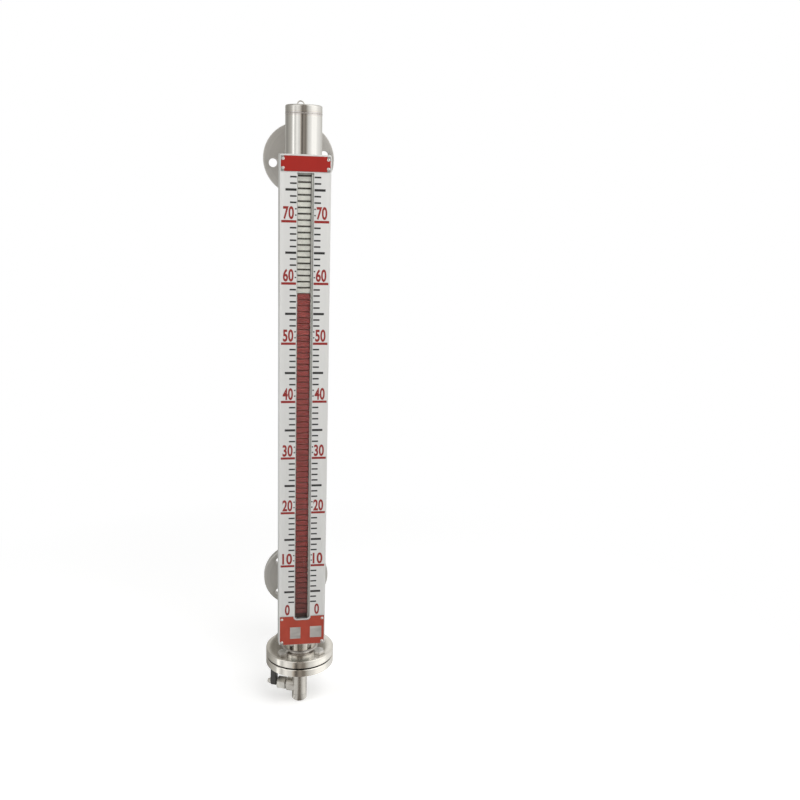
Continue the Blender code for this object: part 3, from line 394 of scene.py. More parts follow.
def use_group(tree, group, inputs):
    return put(tree, "ShaderNodeGroup", inputs, node_tree=group).outputs


def make_turning_marks():
    """Fine rings left by a lathe round an axis, on faces and on rims."""
    tree, given = new_group("turning marks", {
        "Position": ORIGIN, "Axis Point": ORIGIN, "Axis Direction": UP, "Pitch": 0.0004,
    })
    radius, along = round_axis(tree, given["Position"], given["Axis Point"], given["Axis Direction"])
    fine = sums(tree, "DIVIDE", sums(tree, "ADD", radius, along), given["Pitch"])
    coarse = sums(tree, "DIVIDE", fine, RINGS_IN_BAND)
    return end_group(tree, {
        "Marks": noise(tree, {"W": fine, "Scale": 1.0, "Detail": 2.0}, noise_dimensions="1D"),
        "Bands": noise(tree, {"W": coarse, "Scale": 1.0, "Detail": 3.0}, noise_dimensions="1D"),
    })


def make_grain_lines():
    """Straight lines left by brushing or drawing, long in one direction."""
    tree, given = new_group("grain lines", {"Position": ORIGIN, "Lines Per Metre": (900, 900, 12)})
    stretched = vector_sums(tree, "MULTIPLY", given["Position"], given["Lines Per Metre"])
    wide = vector_sums(tree, "MULTIPLY", stretched, STREAKS_PER_LINE)
    return end_group(tree, {
        "Lines": noise(tree, {"Vector": stretched, "Scale": 1.0, "Detail": 4.0, "Roughness": 0.6}),
        "Streaks": noise(tree, {"Vector": wide, "Scale": 1.0, "Detail": 3.0}),
    })


def make_handling_marks():
    """Soft smears and small specks left by hands and wiping."""
    tree, given = new_group("handling marks", {"Position": ORIGIN, "Patches Per Metre": 25.0})
    place, scale = given["Position"], given["Patches Per Metre"]
    smear = noise(tree, {"Vector": place, "Scale": scale, "Detail": 5.0, "Distortion": 1.2})
    finer = sums(tree, "MULTIPLY", scale, SPECKS_PER_PATCH)
    speck = noise(tree, {"Vector": place, "Scale": finer, "Detail": 2.0})
    smears, specks = spread(tree, smear, 0.35, 0.7), spread(tree, speck, 0.6, 0.72)
    return end_group(tree, {"Smears": smears, "Specks": specks})


def make_rubbed_edges():
    """Edges that handling has brightened, and a normal that rounds them."""
    tree, given = new_group("rubbed edges", {"Position": ORIGIN, "Edge Width": 0.0006})
    rounded = put(tree, "ShaderNodeBevel", {"Radius": given["Edge Width"]}, samples=4).outputs["Normal"]
    true = put(tree, "ShaderNodeNewGeometry").outputs["Normal"]
    edge = spread(tree, vector_sums(tree, "DOT_PRODUCT", rounded, true, output=1), 0.995, 0.8)
    patches = noise(tree, {"Vector": given["Position"], "Scale": 160.0, "Detail": 3.0})
    worn = sums(tree, "MULTIPLY", edge, spread(tree, patches, 0.35, 0.6))
    return end_group(tree, {"Edges": worn, "Rounded Normal": rounded})


def make_weld_heat():
    """Straw, brown and blue tints that fade away from a ring weld."""
    tree, given = new_group("weld heat", {
        "Position": ORIGIN, "Ring Centre": ORIGIN, "Ring Direction": UP, "Ring Radius": 0.03,
        "Along Share": 1.0, "Reach": 0.008,
    })
    radius, along = round_axis(tree, given["Position"], given["Ring Centre"], given["Ring Direction"])
    off_ring = sums(tree, "SUBTRACT", radius, given["Ring Radius"])
    weighted = sums(tree, "MULTIPLY", along, given["Along Share"])
    square = sums(tree, "MULTIPLY_ADD", weighted, weighted, sums(tree, "MULTIPLY", off_ring, off_ring))
    distance = sums(tree, "DIVIDE", sums(tree, "SQRT", square), given["Reach"])
    ripple = noise(tree, {"Vector": given["Position"], "Scale": 220.0, "Detail": 2.0})
    uneven = sums(tree, "MULTIPLY_ADD", ripple, 0.5, distance)
    level = sums(tree, "SUBTRACT", uneven, 0.25, clamp=True)
    tint = ramp(tree, level, [
        (0.0, (0.45, 0.43, 0.41)), (0.3, (0.5, 0.45, 0.42)), (0.45, (0.42, 0.4, 0.47)),
        (0.65, (0.6, 0.5, 0.36)), (1.0, (0.8, 0.76, 0.68)),
    ])
    return end_group(tree, {"Tint": tint, "Heat": spread(tree, level, 1.0, 0.35)})


TURNING_MARKS = make_turning_marks()
GRAIN_LINES = make_grain_lines()
HANDLING_MARKS = make_handling_marks()
RUBBED_EDGES = make_rubbed_edges()
WELD_HEAT = make_weld_heat()


# Makers of finishes


def new_finish(name, **sockets):
    """A material with its Principled shader and the place on the piece."""
    material = bpy.data.materials.new(name)
    material.use_nodes = True
    tree = material.node_tree
    shader = tree.nodes["Principled BSDF"]
    for label, value in sockets.items():
        shader.inputs[label.replace("_", " ")].default_value = value
    return material, tree, shader, put(tree, "ShaderNodeTexCoord").outputs["Object"]


def hand_marks(tree, place, patches):
    return use_group(tree, HANDLING_MARKS, {"Position": place, "Patches Per Metre": patches})


def worn_edges(tree, place, width):
    edge = use_group(tree, RUBBED_EDGES, {"Position": place, "Edge Width": width})
    return edge["Edges"], edge["Rounded Normal"]


def set_surface(tree, shader, colour, roughness):
    tree.links.new(colour, shader.inputs["Base Color"])
    tree.links.new(roughness, shader.inputs["Roughness"])


def bump(tree, shader, height, depth, strength, normal=None):
    inputs = {"Height": height, "Distance": depth, "Strength": strength}
    if normal is not None:
        inputs["Normal"] = normal
    tree.links.new(put(tree, "ShaderNodeBump", inputs).outputs["Normal"], shader.inputs["Normal"])


def steel_colour(tree, place, base, marks, smears, edges, welds):
    """Steel that is darker in marks and smears, brighter on edges and tinted near welds."""
    darker = tuple(channel * DARKER for channel in base)
    brighter = tuple(min(1.0, channel * BRIGHTER) for channel in base)
    colour = blend_colour(tree, spread(tree, marks, 0.3, 0.7, 0.0, 0.55), darker, base)
    colour = blend_colour(tree, between(tree, smears, 0.0, 0.4), colour, darker)
    colour = blend_colour(tree, edges, colour, brighter)
    for centre, direction, radius, along, reach in welds:
        heat = use_group(tree, WELD_HEAT, {
            "Position": place, "Ring Centre": centre, "Ring Direction": direction, "Ring Radius": radius,
            "Along Share": along, "Reach": reach,
        })
        colour = blend_colour(tree, sums(tree, "MULTIPLY", heat["Heat"], 0.5), colour, heat["Tint"])
    return colour


def turned_steel(name, point, direction, base, roughness, pitch, welds=(), depth=0.00003, grooved=0.0):
    """Stainless steel turned on a lathe about its own axis; grooves stretch what it mirrors."""
    material, tree, shader, place = new_finish(
        name, Metallic=1.0, Anisotropic=grooved, Anisotropic_Rotation=0.25,
    )
    if grooved:
        around = put(tree, "ShaderNodeTangent", direction_type="RADIAL", axis="YZ"[direction == UP])
        tree.links.new(around.outputs["Tangent"], shader.inputs["Tangent"])
    turning = use_group(tree, TURNING_MARKS, {
        "Position": place, "Axis Point": point, "Axis Direction": direction, "Pitch": pitch,
    })
    smears = hand_marks(tree, place, 30.0)["Smears"]
    edges, normal = worn_edges(tree, place, 0.0005)
    colour = steel_colour(tree, place, base, turning["Bands"], smears, edges, welds)
    rough = spread(tree, turning["Marks"], 0.25, 0.75, *roughness)
    rough = sums(tree, "MULTIPLY_ADD", smears, 0.08, rough)
    set_surface(tree, shader, colour, sums(tree, "MULTIPLY_ADD", edges, -0.08, rough))
    bump(tree, shader, turning["Marks"], depth, 0.6, normal)
    return material


def drawn_steel(name, base, roughness, lines=(900.0, 900.0, 10.0), welds=()):
    """Tube or bar polished along its length."""
    material, tree, shader, place = new_finish(name, Metallic=1.0)
    grain = use_group(tree, GRAIN_LINES, {"Position": place, "Lines Per Metre": lines})
    smears = hand_marks(tree, place, 22.0)["Smears"]
    edges, normal = worn_edges(tree, place, 0.0004)
    colour = steel_colour(tree, place, base, grain["Streaks"], smears, edges, welds)
    rough = spread(tree, grain["Lines"], 0.3, 0.7, *roughness)
    set_surface(tree, shader, colour, sums(tree, "MULTIPLY_ADD", smears, 0.06, rough))
    bump(tree, shader, grain["Lines"], 0.00002, 0.5, normal)
    return material


def weld_metal(name, base, roughness):
    """Weld metal, a little burnt and uneven, brushed clean."""
    material, tree, shader, place = new_finish(name, Metallic=1.0)
    hands = hand_marks(tree, place, 140.0)
    burnt = (base[0] * 0.55, base[1] * 0.5, base[2] * 0.5)
    colour = blend_colour(tree, between(tree, hands["Smears"], 0.1, 0.75), base, burnt)
    set_surface(tree, shader, colour, between(tree, hands["Smears"], *roughness))
    bump(tree, shader, hands["Specks"], 0.00006, 0.5)
    return material


def sheet_finish(name, base, roughness, lines, streak_share, metallic=0.0, worn=None):
    """Printed, painted or anodised sheet with faint streaks, smears and rubbed edges."""
    material, tree, shader, place = new_finish(name, Metallic=metallic)
    grain = use_group(tree, GRAIN_LINES, {"Position": place, "Lines Per Metre": lines})
    smears = hand_marks(tree, place, 18.0)["Smears"]
    edges, normal = worn_edges(tree, place, 0.0003)
    shade = tuple(channel * (1 - 2 * streak_share) for channel in base)
    dull = tuple(channel * 0.93 for channel in base)
    colour = blend_colour(tree, spread(tree, grain["Streaks"], 0.3, 0.7), shade, base)
    colour = blend_colour(tree, between(tree, smears, 0.0, 0.3), colour, dull)
    if worn:
        colour = blend_colour(tree, edges, colour, worn)
    rough = spread(tree, grain["Lines"], 0.3, 0.7, *roughness)
    set_surface(tree, shader, colour, sums(tree, "MULTIPLY_ADD", smears, 0.1, rough))
    bump(tree, shader, grain["Lines"], 0.00001, 0.4, normal)
    return material


def moulded(name, base, roughness, worn=None, grain_size=900.0):
    """Rubber or plastic with a fine even grain."""
    material, tree, shader, place = new_finish(name)
    smears = hand_marks(tree, place, 60.0)["Smears"]
    edges, normal = worn_edges(tree, place, 0.0004)
    dusty = tuple(channel * 0.8 + 0.02 for channel in base)
    colour = blend_colour(tree, between(tree, smears, 0.0, 0.6), base, dusty)
    if worn:
        colour = blend_colour(tree, sums(tree, "MULTIPLY", edges, 0.7), colour, worn)
    set_surface(tree, shader, colour, between(tree, smears, *roughness))
    grain = noise(tree, {"Vector": place, "Scale": grain_size, "Detail": 2.0})
    bump(tree, shader, grain, 0.00003, 0.5, normal)
    return material


def flap_finish(name, front, back, rail=None):
    """Flaps with one colour in front of their hinge line and another behind it, with painted shade at the
    gaps between them and towards the window's foot.

    With a rail's colour, front and back hold the red zone's colour and the white zone's.
    """
    material, tree, shader, place = new_finish(name, Specular_IOR_Level=0.2)
    x, y, z = put(tree, "ShaderNodeSeparateXYZ", {"Vector": place}).outputs
    behind = sums(tree, "GREATER_THAN", y, FLAP_AXIS_Y)
    red_zone = sums(tree, "LESS_THAN", z, RED_TOP_Z)
    hands = hand_marks(tree, place, 90.0)
    normal = worn_edges(tree, place, 0.0004)[1]
    if rail:
        front, back = (blend_colour(tree, red_zone, in_white, in_red) for in_red, in_white in (front, back))
    colour = blend_colour(tree, behind, front, back)
    colour = blend_colour(tree, between(tree, hands["Smears"], 0.05, 0.3), colour, FLAP_GRIME, "MULTIPLY")
    # Painted shade: a dark band along each flap's edges, where the gaps between flaps are, fainter in the red
    # zone
    from_lowest = sums(tree, "SUBTRACT", z, LOWEST_ROW_EDGE)
    from_middle = apart(tree, sums(tree, "MODULO", from_lowest, FLAP_PITCH), FLAP_PITCH / 2)
    shaded_gap_edge = spread(tree, from_middle, *FLAP_GAP_SHADE_REACH, 0.0, 0.85)
    shaded_gap_edge = sums(tree, "MULTIPLY", shaded_gap_edge, between(tree, red_zone, 1.0, 0.12))
    colour = blend_colour(tree, shaded_gap_edge, colour, FLAP_GAP_SHADE)
    # Painted shade that deepens towards the window's foot
    shaded_foot = spread(tree, z, *LOW_FLAP_SHADE_REACH, 0.6, 0.0)
    colour = blend_colour(tree, shaded_foot, colour, LOW_FLAP_SHADE)
    if rail:
        beside = apart(tree, x, FLAP_AXIS_X)
        on_flap = sums(
            tree, "MULTIPLY", sums(tree, "LESS_THAN", beside, FLAP_HALF_WIDTH),
            sums(tree, "LESS_THAN", apart(tree, y, FLAP_AXIS_Y), FLAP_HALF_DEPTH),
        )
        inside = sums(tree, "MULTIPLY", sums(tree, "LESS_THAN", beside, RAIL_HALF_WIDTH), behind)
        in_shade = blend_colour(tree, red_zone, WHITE_ZONE_SHADE, RED_ZONE_SHADE)
        under_flaps = sums(tree, "LESS_THAN", z, LOWEST_FLAP_EDGE)
        in_shade = blend_colour(tree, under_flaps, in_shade, FOOT_SHADE)
        colour = blend_colour(tree, on_flap, blend_colour(tree, inside, rail, in_shade), colour)
    set_surface(tree, shader, colour, between(tree, hands["Smears"], 0.35, 0.55))
    bump(tree, shader, hands["Specks"], 0.00002, 0.4, normal)
    return material


def clear_glass():
    """Window glass that lets lamps through to the flaps behind it."""
    material, tree, shader, place = new_finish(
        "window glass", Base_Color=(0.97, 0.98, 0.98, 1), Transmission_Weight=1.0, IOR=1.2,
    )
    smears = hand_marks(tree, place, 12.0)["Smears"]
    tree.links.new(between(tree, smears, 0.0, 0.03), shader.inputs["Roughness"])
    path = put(tree, "ShaderNodeLightPath")
    see_through = put(tree, "ShaderNodeBsdfTransparent", {"Color": (0.94, 0.95, 0.95, 1)})
    mixed = put(tree, "ShaderNodeMixShader", {
        0: path.outputs["Is Shadow Ray"], 1: shader.outputs[0], 2: see_through.outputs[0],
    })
    tree.links.new(mixed.outputs[0], tree.nodes["Material Output"].inputs["Surface"])
    return material


# Finishes

STEEL = (0.66, 0.64, 0.605)
# One flange steel in two copies, painted darker for the lower flange and lighter for the upper one: painted
# shade and painted light
SHADED_FLANGE_STEEL = (0.6, 0.585, 0.555)
LIT_FLANGE_STEEL = (0.74, 0.72, 0.685)
POLISHED_STEEL = (0.74, 0.72, 0.69)
FLAP_RED = (0.25, 0.045, 0.038)
FLAP_WHITE = (0.565, 0.55, 0.495)
FLAP_GRIME = (0.3, 0.27, 0.25)
FLAP_GAP_SHADE = (0.05, 0.042, 0.03)
# Colour of the painted shade towards the window's foot
LOW_FLAP_SHADE = (0.1, 0.055, 0.05)
WHITE_ZONE_SHADE = (0.03, 0.026, 0.022)
RED_ZONE_SHADE = (0.6, 0.14, 0.12)
FOOT_SHADE = (0.19, 0.11, 0.095)
# Reaches of the painted shade at the flaps' gaps and towards the window's foot
FLAP_GAP_SHADE_REACH = (0.0029, 0.004)
LOW_FLAP_SHADE_REACH = (-0.01, 0.15)
FLAP_HALF_WIDTH = 0.01095
FLAP_HALF_DEPTH = 0.0014
RAIL_HALF_WIDTH = 0.0111
BRANCH_WELD_Y = -0.108
NECK_WELD_Y = -0.018
FOOT_WELD = ((0, AXIS_Y, -0.0845), UP, 0.0318, 1.0, 0.008)
CAP_WELD = ((0, AXIS_Y, 0.869), UP, CHAMBER_RADIUS, 1.0, 0.005)


def branch_weld(height):
    return (0, BRANCH_WELD_Y, height), BACK, NOZZLE_RADIUS, 0.4, 0.007


def neck_weld(height):
    return (0, NECK_WELD_Y, height), BACK, NOZZLE_RADIUS, 1.0, 0.007


def nozzle_finish(side, height):
    return drawn_steel(
        f"{side} nozzle steel", STEEL, (0.18, 0.28), (700.0, 10.0, 700.0),
        (branch_weld(height), neck_weld(height)),
    )


def flange_finish(side, height, base, roughness):
    return turned_steel(
        f"{side} flange steel", (0, 0, height), BACK, base, roughness, 0.0007, (neck_weld(height),),
        grooved=0.6,
    )


CHAMBER_FINISH = drawn_steel(
    "polished chamber steel", (0.73, 0.715, 0.685), (0.07, 0.12),
    welds=(FOOT_WELD, CAP_WELD, branch_weld(UPPER_NOZZLE_Z), branch_weld(0)),
)
CAP_FINISH = turned_steel(
    "spun cap steel", (0, AXIS_Y, 0), UP, (0.7, 0.68, 0.645), (0.12, 0.2), 0.0006, (CAP_WELD,), 0.00001,
)
END_FLANGE_FINISH = turned_steel(
    "end flange steel", (0, AXIS_Y, 0), UP, (0.82, 0.785, 0.725), (0.09, 0.16), 0.0006, (FOOT_WELD,),
    grooved=0.65,
)
BOLT_FINISH = drawn_steel("bolt steel", (0.66, 0.64, 0.61), (0.22, 0.36), (600.0, 600.0, 200.0))
SCREW_FINISH = drawn_steel("small screw steel", (0.84, 0.8, 0.77), (0.15, 0.3), (1500.0, 1500.0, 300.0))
BAND_FINISH = drawn_steel("clamp band steel", (0.62, 0.605, 0.58), (0.2, 0.32), (14.0, 14.0, 900.0))
WIRE_FINISH = drawn_steel("bent wire steel", (0.86, 0.84, 0.8), (0.15, 0.25), (800.0, 800.0, 200.0))
FLOAT_FINISH = drawn_steel("float steel", POLISHED_STEEL, (0.1, 0.18), (900.0, 900.0, 14.0))
WELD_FINISH = weld_metal("brushed weld steel", (0.6, 0.575, 0.54), (0.24, 0.42))
VALVE_FINISH = turned_steel(
    "valve body steel", STEM_CENTRE, UP, (0.55, 0.525, 0.485), (0.18, 0.34), 0.0012, depth=0.0002,
)
STEM_FINISH = turned_steel(
    "stem and gland steel", STEM_CENTRE, STEM_ALONG, (0.62, 0.6, 0.56), (0.2, 0.34), 0.0004,
)
BALL_FINISH = turned_steel("ball steel", STEM_CENTRE, UP, POLISHED_STEEL, (0.06, 0.1), 0.0004, depth=0.000005)
HOUSING_FINISH = sheet_finish(
    "anodised housing", (0.67, 0.68, 0.665), (0.34, 0.46), (1400.0, 1400.0, 8.0), 0.05, 0.85,
    (0.85, 0.86, 0.85),
)
SCALE_FINISH = sheet_finish(
    "printed scale white", (0.71, 0.705, 0.685), (0.3, 0.42), (700.0, 700.0, 3.0), 0.045,
    worn=(0.62, 0.61, 0.6),
)
NAMEPLATE_FINISH = sheet_finish(
    "nameplate metal", (0.42, 0.405, 0.39), (0.3, 0.45), (1800.0, 1800.0, 40.0), 0.08, 0.9,
    (0.7, 0.69, 0.67),
)
RED_PRINT = sheet_finish("red print", (0.35, 0.012, 0.006), (0.34, 0.46), (500.0, 500.0, 60.0), 0.05)
FADED_RED_PRINT = sheet_finish(
    "faded red print", (0.43, 0.05, 0.024), (0.34, 0.46), (400.0, 400.0, 120.0), 0.1,
)
RED_SCALE_PRINT = sheet_finish(
    "red scale print", (0.29, 0.022, 0.018), (0.36, 0.48), (900.0, 900.0, 200.0), 0.05,
)
BLACK_PRINT = sheet_finish(
    "black scale print", (0.022, 0.021, 0.021), (0.36, 0.5), (900.0, 900.0, 200.0), 0.05,
)
PALE_PRINT = sheet_finish("pale grey print", (0.5, 0.47, 0.44), (0.36, 0.5), (300.0, 300.0, 300.0), 0.22)
RED_FLAP_FINISH = flap_finish("red flap", FLAP_RED, FLAP_WHITE)
WHITE_FLAP_FINISH = flap_finish("white flap", FLAP_WHITE, FLAP_RED)
RAIL_FINISH = flap_finish(
    "rail with fixed flaps", (FLAP_RED, FLAP_WHITE), (FLAP_WHITE, FLAP_RED), (0.34, 0.33, 0.3),
)
GLASS_FINISH = clear_glass()
GASKET_FINISH = moulded("gasket rubber", (0.03, 0.03, 0.03), (0.6, 0.8))
SEAL_FINISH = moulded("white seal plastic", (0.82, 0.82, 0.79), (0.3, 0.45))
MAGNET_FINISH = moulded("sintered magnet", (0.1, 0.1, 0.11), (0.45, 0.6), (0.25, 0.25, 0.26), 1500.0)
LEVER_FINISH = moulded("black lever grip", (0.035, 0.032, 0.03), (0.35, 0.55), (0.22, 0.2, 0.18))


# Chamber, cap and loop

CHAMBER_WALL = CHAMBER_RADIUS - CHAMBER_BORE
RIPPLE_STEPS = 4
RIPPLE_SHARE = 0.13
WELD_RIPPLE = 0.0022
SEAM_SINK = 0.0007
SEAM_BEAD = 0.001
SEAM_RIPPLE = 0.00176
LOOP_WIRE_RADIUS = 0.0011
EYE_WELD_RADIUS = 0.0014
EYE_WELD_LIFT = 0.0001
EYE_WELD_BEAD = 0.0006
EYE_WELD_RIPPLE = 0.0009


def weld_bead(name, path_at, length, bead, ripple=WELD_RIPPLE):
    """A round bead laid in overlapping ripples along a closed path."""
    steps = RIPPLE_STEPS * max(12, round(length / ripple))
    points = [path_at(2 * math.pi * step / steps) for step in range(steps)]
    swell = [1.0 + RIPPLE_SHARE * (0.5 - step / RIPPLE_STEPS) for step in range(RIPPLE_STEPS)]
    radii = [bead * swell[step % RIPPLE_STEPS] for step in range(steps)]
    dress(link(name, tube_mesh(name, points, radii, 10)), WELD_FINISH, sharp=60)


def ring_weld(name, centre, direction, radius, bead, ripple=WELD_RIPPLE):
    """A bead round a vertical tube, or round one that points back."""
    along = Vector(BACK if direction == UP else UP)
    weld_bead(
        name, lambda a: Vector(centre) + radius * (Vector((math.cos(a), 0, 0)) + math.sin(a) * along),
        2 * math.pi * radius, bead, ripple,
    )


def make_chamber():
    low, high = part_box("chamber_tube")
    tube = link("polished_chamber", spun_mesh("polished_chamber", [
        (CHAMBER_RADIUS, high.z), (CHAMBER_RADIUS, low.z), (CHAMBER_BORE, low.z), (CHAMBER_BORE, high.z),
    ], place=at(0, AXIS_Y, 0)))
    for height in (0, UPPER_NOZZLE_Z):
        place = facing_back(0, height)
        drill(tube, NOZZLE_BORE, CHAMBER_BORE / 2, CHAMBER_RADIUS + OVERRUN, SMALL_ROUND, place)
    dress(tube, CHAMBER_FINISH, replaces=("chamber_tube",))

    low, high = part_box("top_cap")
    edge = arc(CHAMBER_RADIUS - CAP_EDGE, high.z - CAP_EDGE, CAP_EDGE, 90, 0, 8)
    inside = high.z - CHAMBER_WALL
    cap = link("domed_cap", spun_mesh("domed_cap", [
        (0, high.z), (CHAMBER_RADIUS / 2, high.z), *edge, (CHAMBER_RADIUS, low.z), (CHAMBER_BORE, low.z),
        (CHAMBER_BORE, inside), (0, inside),
    ], closed=False, place=at(0, AXIS_Y, 0)))
    dress(cap, CAP_FINISH, replaces=("top_cap",))
    seam = (0, AXIS_Y, low.z - FIT / 2)
    ring_weld("cap_seam_weld", seam, UP, CHAMBER_RADIUS - SEAM_SINK, SEAM_BEAD, SEAM_RIPPLE)


def make_loop():
    low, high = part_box("lifting_loop")
    wire = LOOP_WIRE_RADIUS
    half = (high.x - low.x) / 2 - wire
    middle = (low.x + high.x) / 2
    bend = arc(middle, high.z - wire - half, half, 180, 0, 20)
    path = [(middle - half, low.z), *bend, (middle + half, low.z)]
    points = [Vector((x, AXIS_Y, z)) for x, z in path]
    loop = link("lifting_eye", tube_mesh("lifting_eye", points, [wire] * len(points), 16, closed=False))
    dress(loop, WIRE_FINISH, replaces=("lifting_loop",))
    for number, x in enumerate((middle - half, middle + half), start=1):
        foot = (x, AXIS_Y, low.z + EYE_WELD_LIFT)
        ring_weld(f"eye_weld_{number}", foot, UP, EYE_WELD_RADIUS, EYE_WELD_BEAD, EYE_WELD_RIPPLE)


# Side nozzles and their flanges

RAISED_FACE_RADIUS = 0.034
RAISED_FACE_HEIGHT = 0.0015
FLANGE_THICKNESS = 0.014
FLANGE_ROUND = 144
FLANGE_EDGE = 0.0004
SADDLE_BEAD = 0.0022
SADDLE_GAP = 0.0003
SADDLE_SHIFT = 0.0006
NECK_WELD_BEAD = 0.0026
NECK_WELD_RISE = 0.0006
NECK_WELD_SHIFT = 0.0008
FACE_BEAD = 0.0013
FACE_WELD_RISE = 0.0018
FACE_WELD_SHIFT = 0.0002


def opening_centres(start):
    """Middles of the record's openings whose names start so."""
    openings = frame["record"]["physics"]["openings"]
    boxes = [opening["box_m"] for opening in openings if opening["name"].startswith(start)]
    return [(Vector(low) + Vector(high)) / 2 for low, high in boxes]


def flange_rim(face, back):
    """The outside of a flange plate, from its front face to its back one."""
    return [
        (FLANGE_RADIUS - FLANGE_CHAMFER, face), (FLANGE_RADIUS, face - FLANGE_CHAMFER),
        (FLANGE_RADIUS, back + FLANGE_CHAMFER), (FLANGE_RADIUS - FLANGE_CHAMFER, back),
    ]


def make_nozzle(side, height, pipe_finish, plate_finish):
    pipe_end = NOZZLE_END_Y - AXIS_Y
    pipe = link(f"{side}_branch_pipe", spun_mesh("pipe", [
        (NOZZLE_RADIUS, pipe_end), (NOZZLE_RADIUS, CHAMBER_BORE / 2), (NOZZLE_BORE, CHAMBER_BORE / 2),
        (NOZZLE_BORE, pipe_end),
    ], 80, place=facing_back(0, height)))
    low, high = height - NOZZLE_RADIUS * 2, height + NOZZLE_RADIUS * 2
    drill(pipe, CHAMBER_RADIUS, low, high, ROUND, at(0, AXIS_Y, 0))
    dress(pipe, pipe_finish, replaces=(f"{side}_nozzle",))

    reach = -AXIS_Y
    plate_face = reach - RAISED_FACE_HEIGHT
    plate_back = plate_face - FLANGE_THICKNESS
    bore = NOZZLE_RADIUS + FIT
    flange = link(f"{side}_turned_flange", spun_mesh("flange", [
        (RAISED_FACE_RADIUS, reach), (RAISED_FACE_RADIUS, plate_face), *flange_rim(plate_face, plate_back),
        (bore, plate_back), (bore, reach),
    ], FLANGE_ROUND, place=facing_back(0, height)))
    for centre in opening_centres(f"{side}_bolt_hole"):
        place = facing_back(centre.x, centre.z)
        drill(flange, PROCESS_HOLE_RADIUS, plate_back - OVERRUN, reach + OVERRUN, SMALL_ROUND, place)
    round_edges(flange, FLANGE_EDGE)
    dress(flange, plate_finish, replaces=(f"{side}_process_flange",))

    def saddle(angle):
        x = NOZZLE_RADIUS * math.cos(angle)
        y = AXIS_Y + math.sqrt((CHAMBER_RADIUS + SADDLE_GAP) ** 2 - x ** 2)
        return Vector((x, y + SADDLE_SHIFT, height + NOZZLE_RADIUS * math.sin(angle)))

    weld_bead(f"{side}_saddle_weld", saddle, 2 * math.pi * NOZZLE_RADIUS, SADDLE_BEAD)
    neck = (0, AXIS_Y + plate_back - NECK_WELD_SHIFT, height)
    ring_weld(f"{side}_neck_weld", neck, BACK, NOZZLE_RADIUS + NECK_WELD_RISE, NECK_WELD_BEAD)
    mouth = (0, NOZZLE_END_Y + FACE_WELD_SHIFT, height)
    ring_weld(f"{side}_face_weld", mouth, BACK, NOZZLE_BORE + FACE_WELD_RISE, FACE_BEAD)


# End flanges and their bolts

SPIGOT_RADIUS = 0.0077
FOOT_BEAD = 0.0027
FOOT_WELD_RISE = 0.0009
FOOT_WELD_LIFT = 0.0008
SHANK_LAP = 0.002
SHANK_POINT = 0.001
HEX_EDGE = 0.0002
BOLT_TURNS_DEGREES = (17, 48, 5, 33)
CROWN_START_SHARE = 0.3
CROWN_FALL_SHARE = 1.3


def hex_mesh(name, flats, low, high, place=Matrix.Identity(4)):
    """A hexagon with its corners turned down to a cone at the free end."""
    corner = flats / math.sqrt(3)
    head = link(name, prism_mesh(name, corner, low, high, 6))
    width = corner - flats / 2
    shape(head, "INTERSECT", spun_mesh("envelope", [
        (0, high), (flats / 2 - width * CROWN_START_SHARE, high),
        (corner + width, high - width * CROWN_FALL_SHARE), (corner + width, low - OVERRUN),
        (0, low - OVERRUN),
    ], 96, closed=False))
    mesh = head.data.copy()
    bpy.data.objects.remove(head)
    mesh.transform(place)
    return mesh


def make_end_flanges():
    low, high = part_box("chamber_flange")
    blind_low, blind_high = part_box("blind_flange")
    top = high.z - WELD_LEG
    bolts = [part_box(f"flange_bolt_{number}") for number in (1, 2, 3, 4)]
    centres = [(a + b) / 2 for a, b in bolts]
    for name, node, bore, face, back in (
        ("turned_chamber_flange", "chamber_flange", CHAMBER_RADIUS + FIT, top, low.z),
        ("turned_blind_flange", "blind_flange", SPIGOT_RADIUS + FIT, blind_high.z, blind_low.z),
    ):
        outline = [(bore, face), *flange_rim(face, back), (bore, back)]
        flange = link(name, spun_mesh("flange", outline, FLANGE_ROUND, place=at(0, AXIS_Y, 0)))
        for centre in centres:
            place = at(centre.x, centre.y, 0)
            drill(flange, BOLT_HOLE_RADIUS, blind_low.z - OVERRUN, top + OVERRUN, 40, place)
        round_edges(flange, FLANGE_EDGE)
        dress(flange, END_FLANGE_FINISH, replaces=(node,))
    foot = (0, AXIS_Y, top + FOOT_WELD_LIFT)
    ring_weld("foot_weld", foot, UP, CHAMBER_RADIUS + FOOT_WELD_RISE, FOOT_BEAD)

    head_low = top + FIT
    for number, ((low, high), centre, turn) in enumerate(zip(bolts, centres, BOLT_TURNS_DEGREES), start=1):
        place = at(centre.x, centre.y, 0) @ Matrix.Rotation(math.radians(turn), 4, "Z")
        bolt = link(f"hex_bolt_{number}", hex_mesh(
            "head", BOLT_HEAD_FLATS, head_low, head_low + BOLT_HEAD_HEIGHT, place,
        ))
        round_edges(bolt, HEX_EDGE, 2, 30)
        shape(bolt, "UNION", spun_mesh("shank", [
            (0, head_low + SHANK_LAP), (BOLT_RADIUS, head_low + SHANK_LAP),
            (BOLT_RADIUS, low.z + SHANK_POINT), (BOLT_RADIUS - SHANK_POINT, low.z), (0, low.z),
        ], 40, closed=False, place=place))
        dress(bolt, BOLT_FINISH, replaces=(f"flange_bolt_{number}",))


# Scale plate, its print, the nameplates and their screws

PLATE_CORNER = 0.003
PLATE_EDGE = 0.0002
NAMEPLATE_EDGE = 0.0001
GLASS_LAP = 0.003
SCREW_HOLE_RADIUS = 0.0016
SCREW_HEAD_RADIUS = 0.0025
SCREW_HEAD_LIFT = 0.0002
SCREW_DOME_SHARE = 0.5
SCREW_SHANK_RADIUS = 0.0015
SCREW_SHANK_LENGTH = 0.0006
SCREW_SLOT_HALF_LENGTH = 0.0013
SCREW_SLOT_HALF_WIDTH = 0.00022
SCREW_SLOT_FLOOR = 0.0009
SCREW_SLOT_TOP = 0.003
SCREW_TURNS_DEGREES = (67, 114, 161, 208)


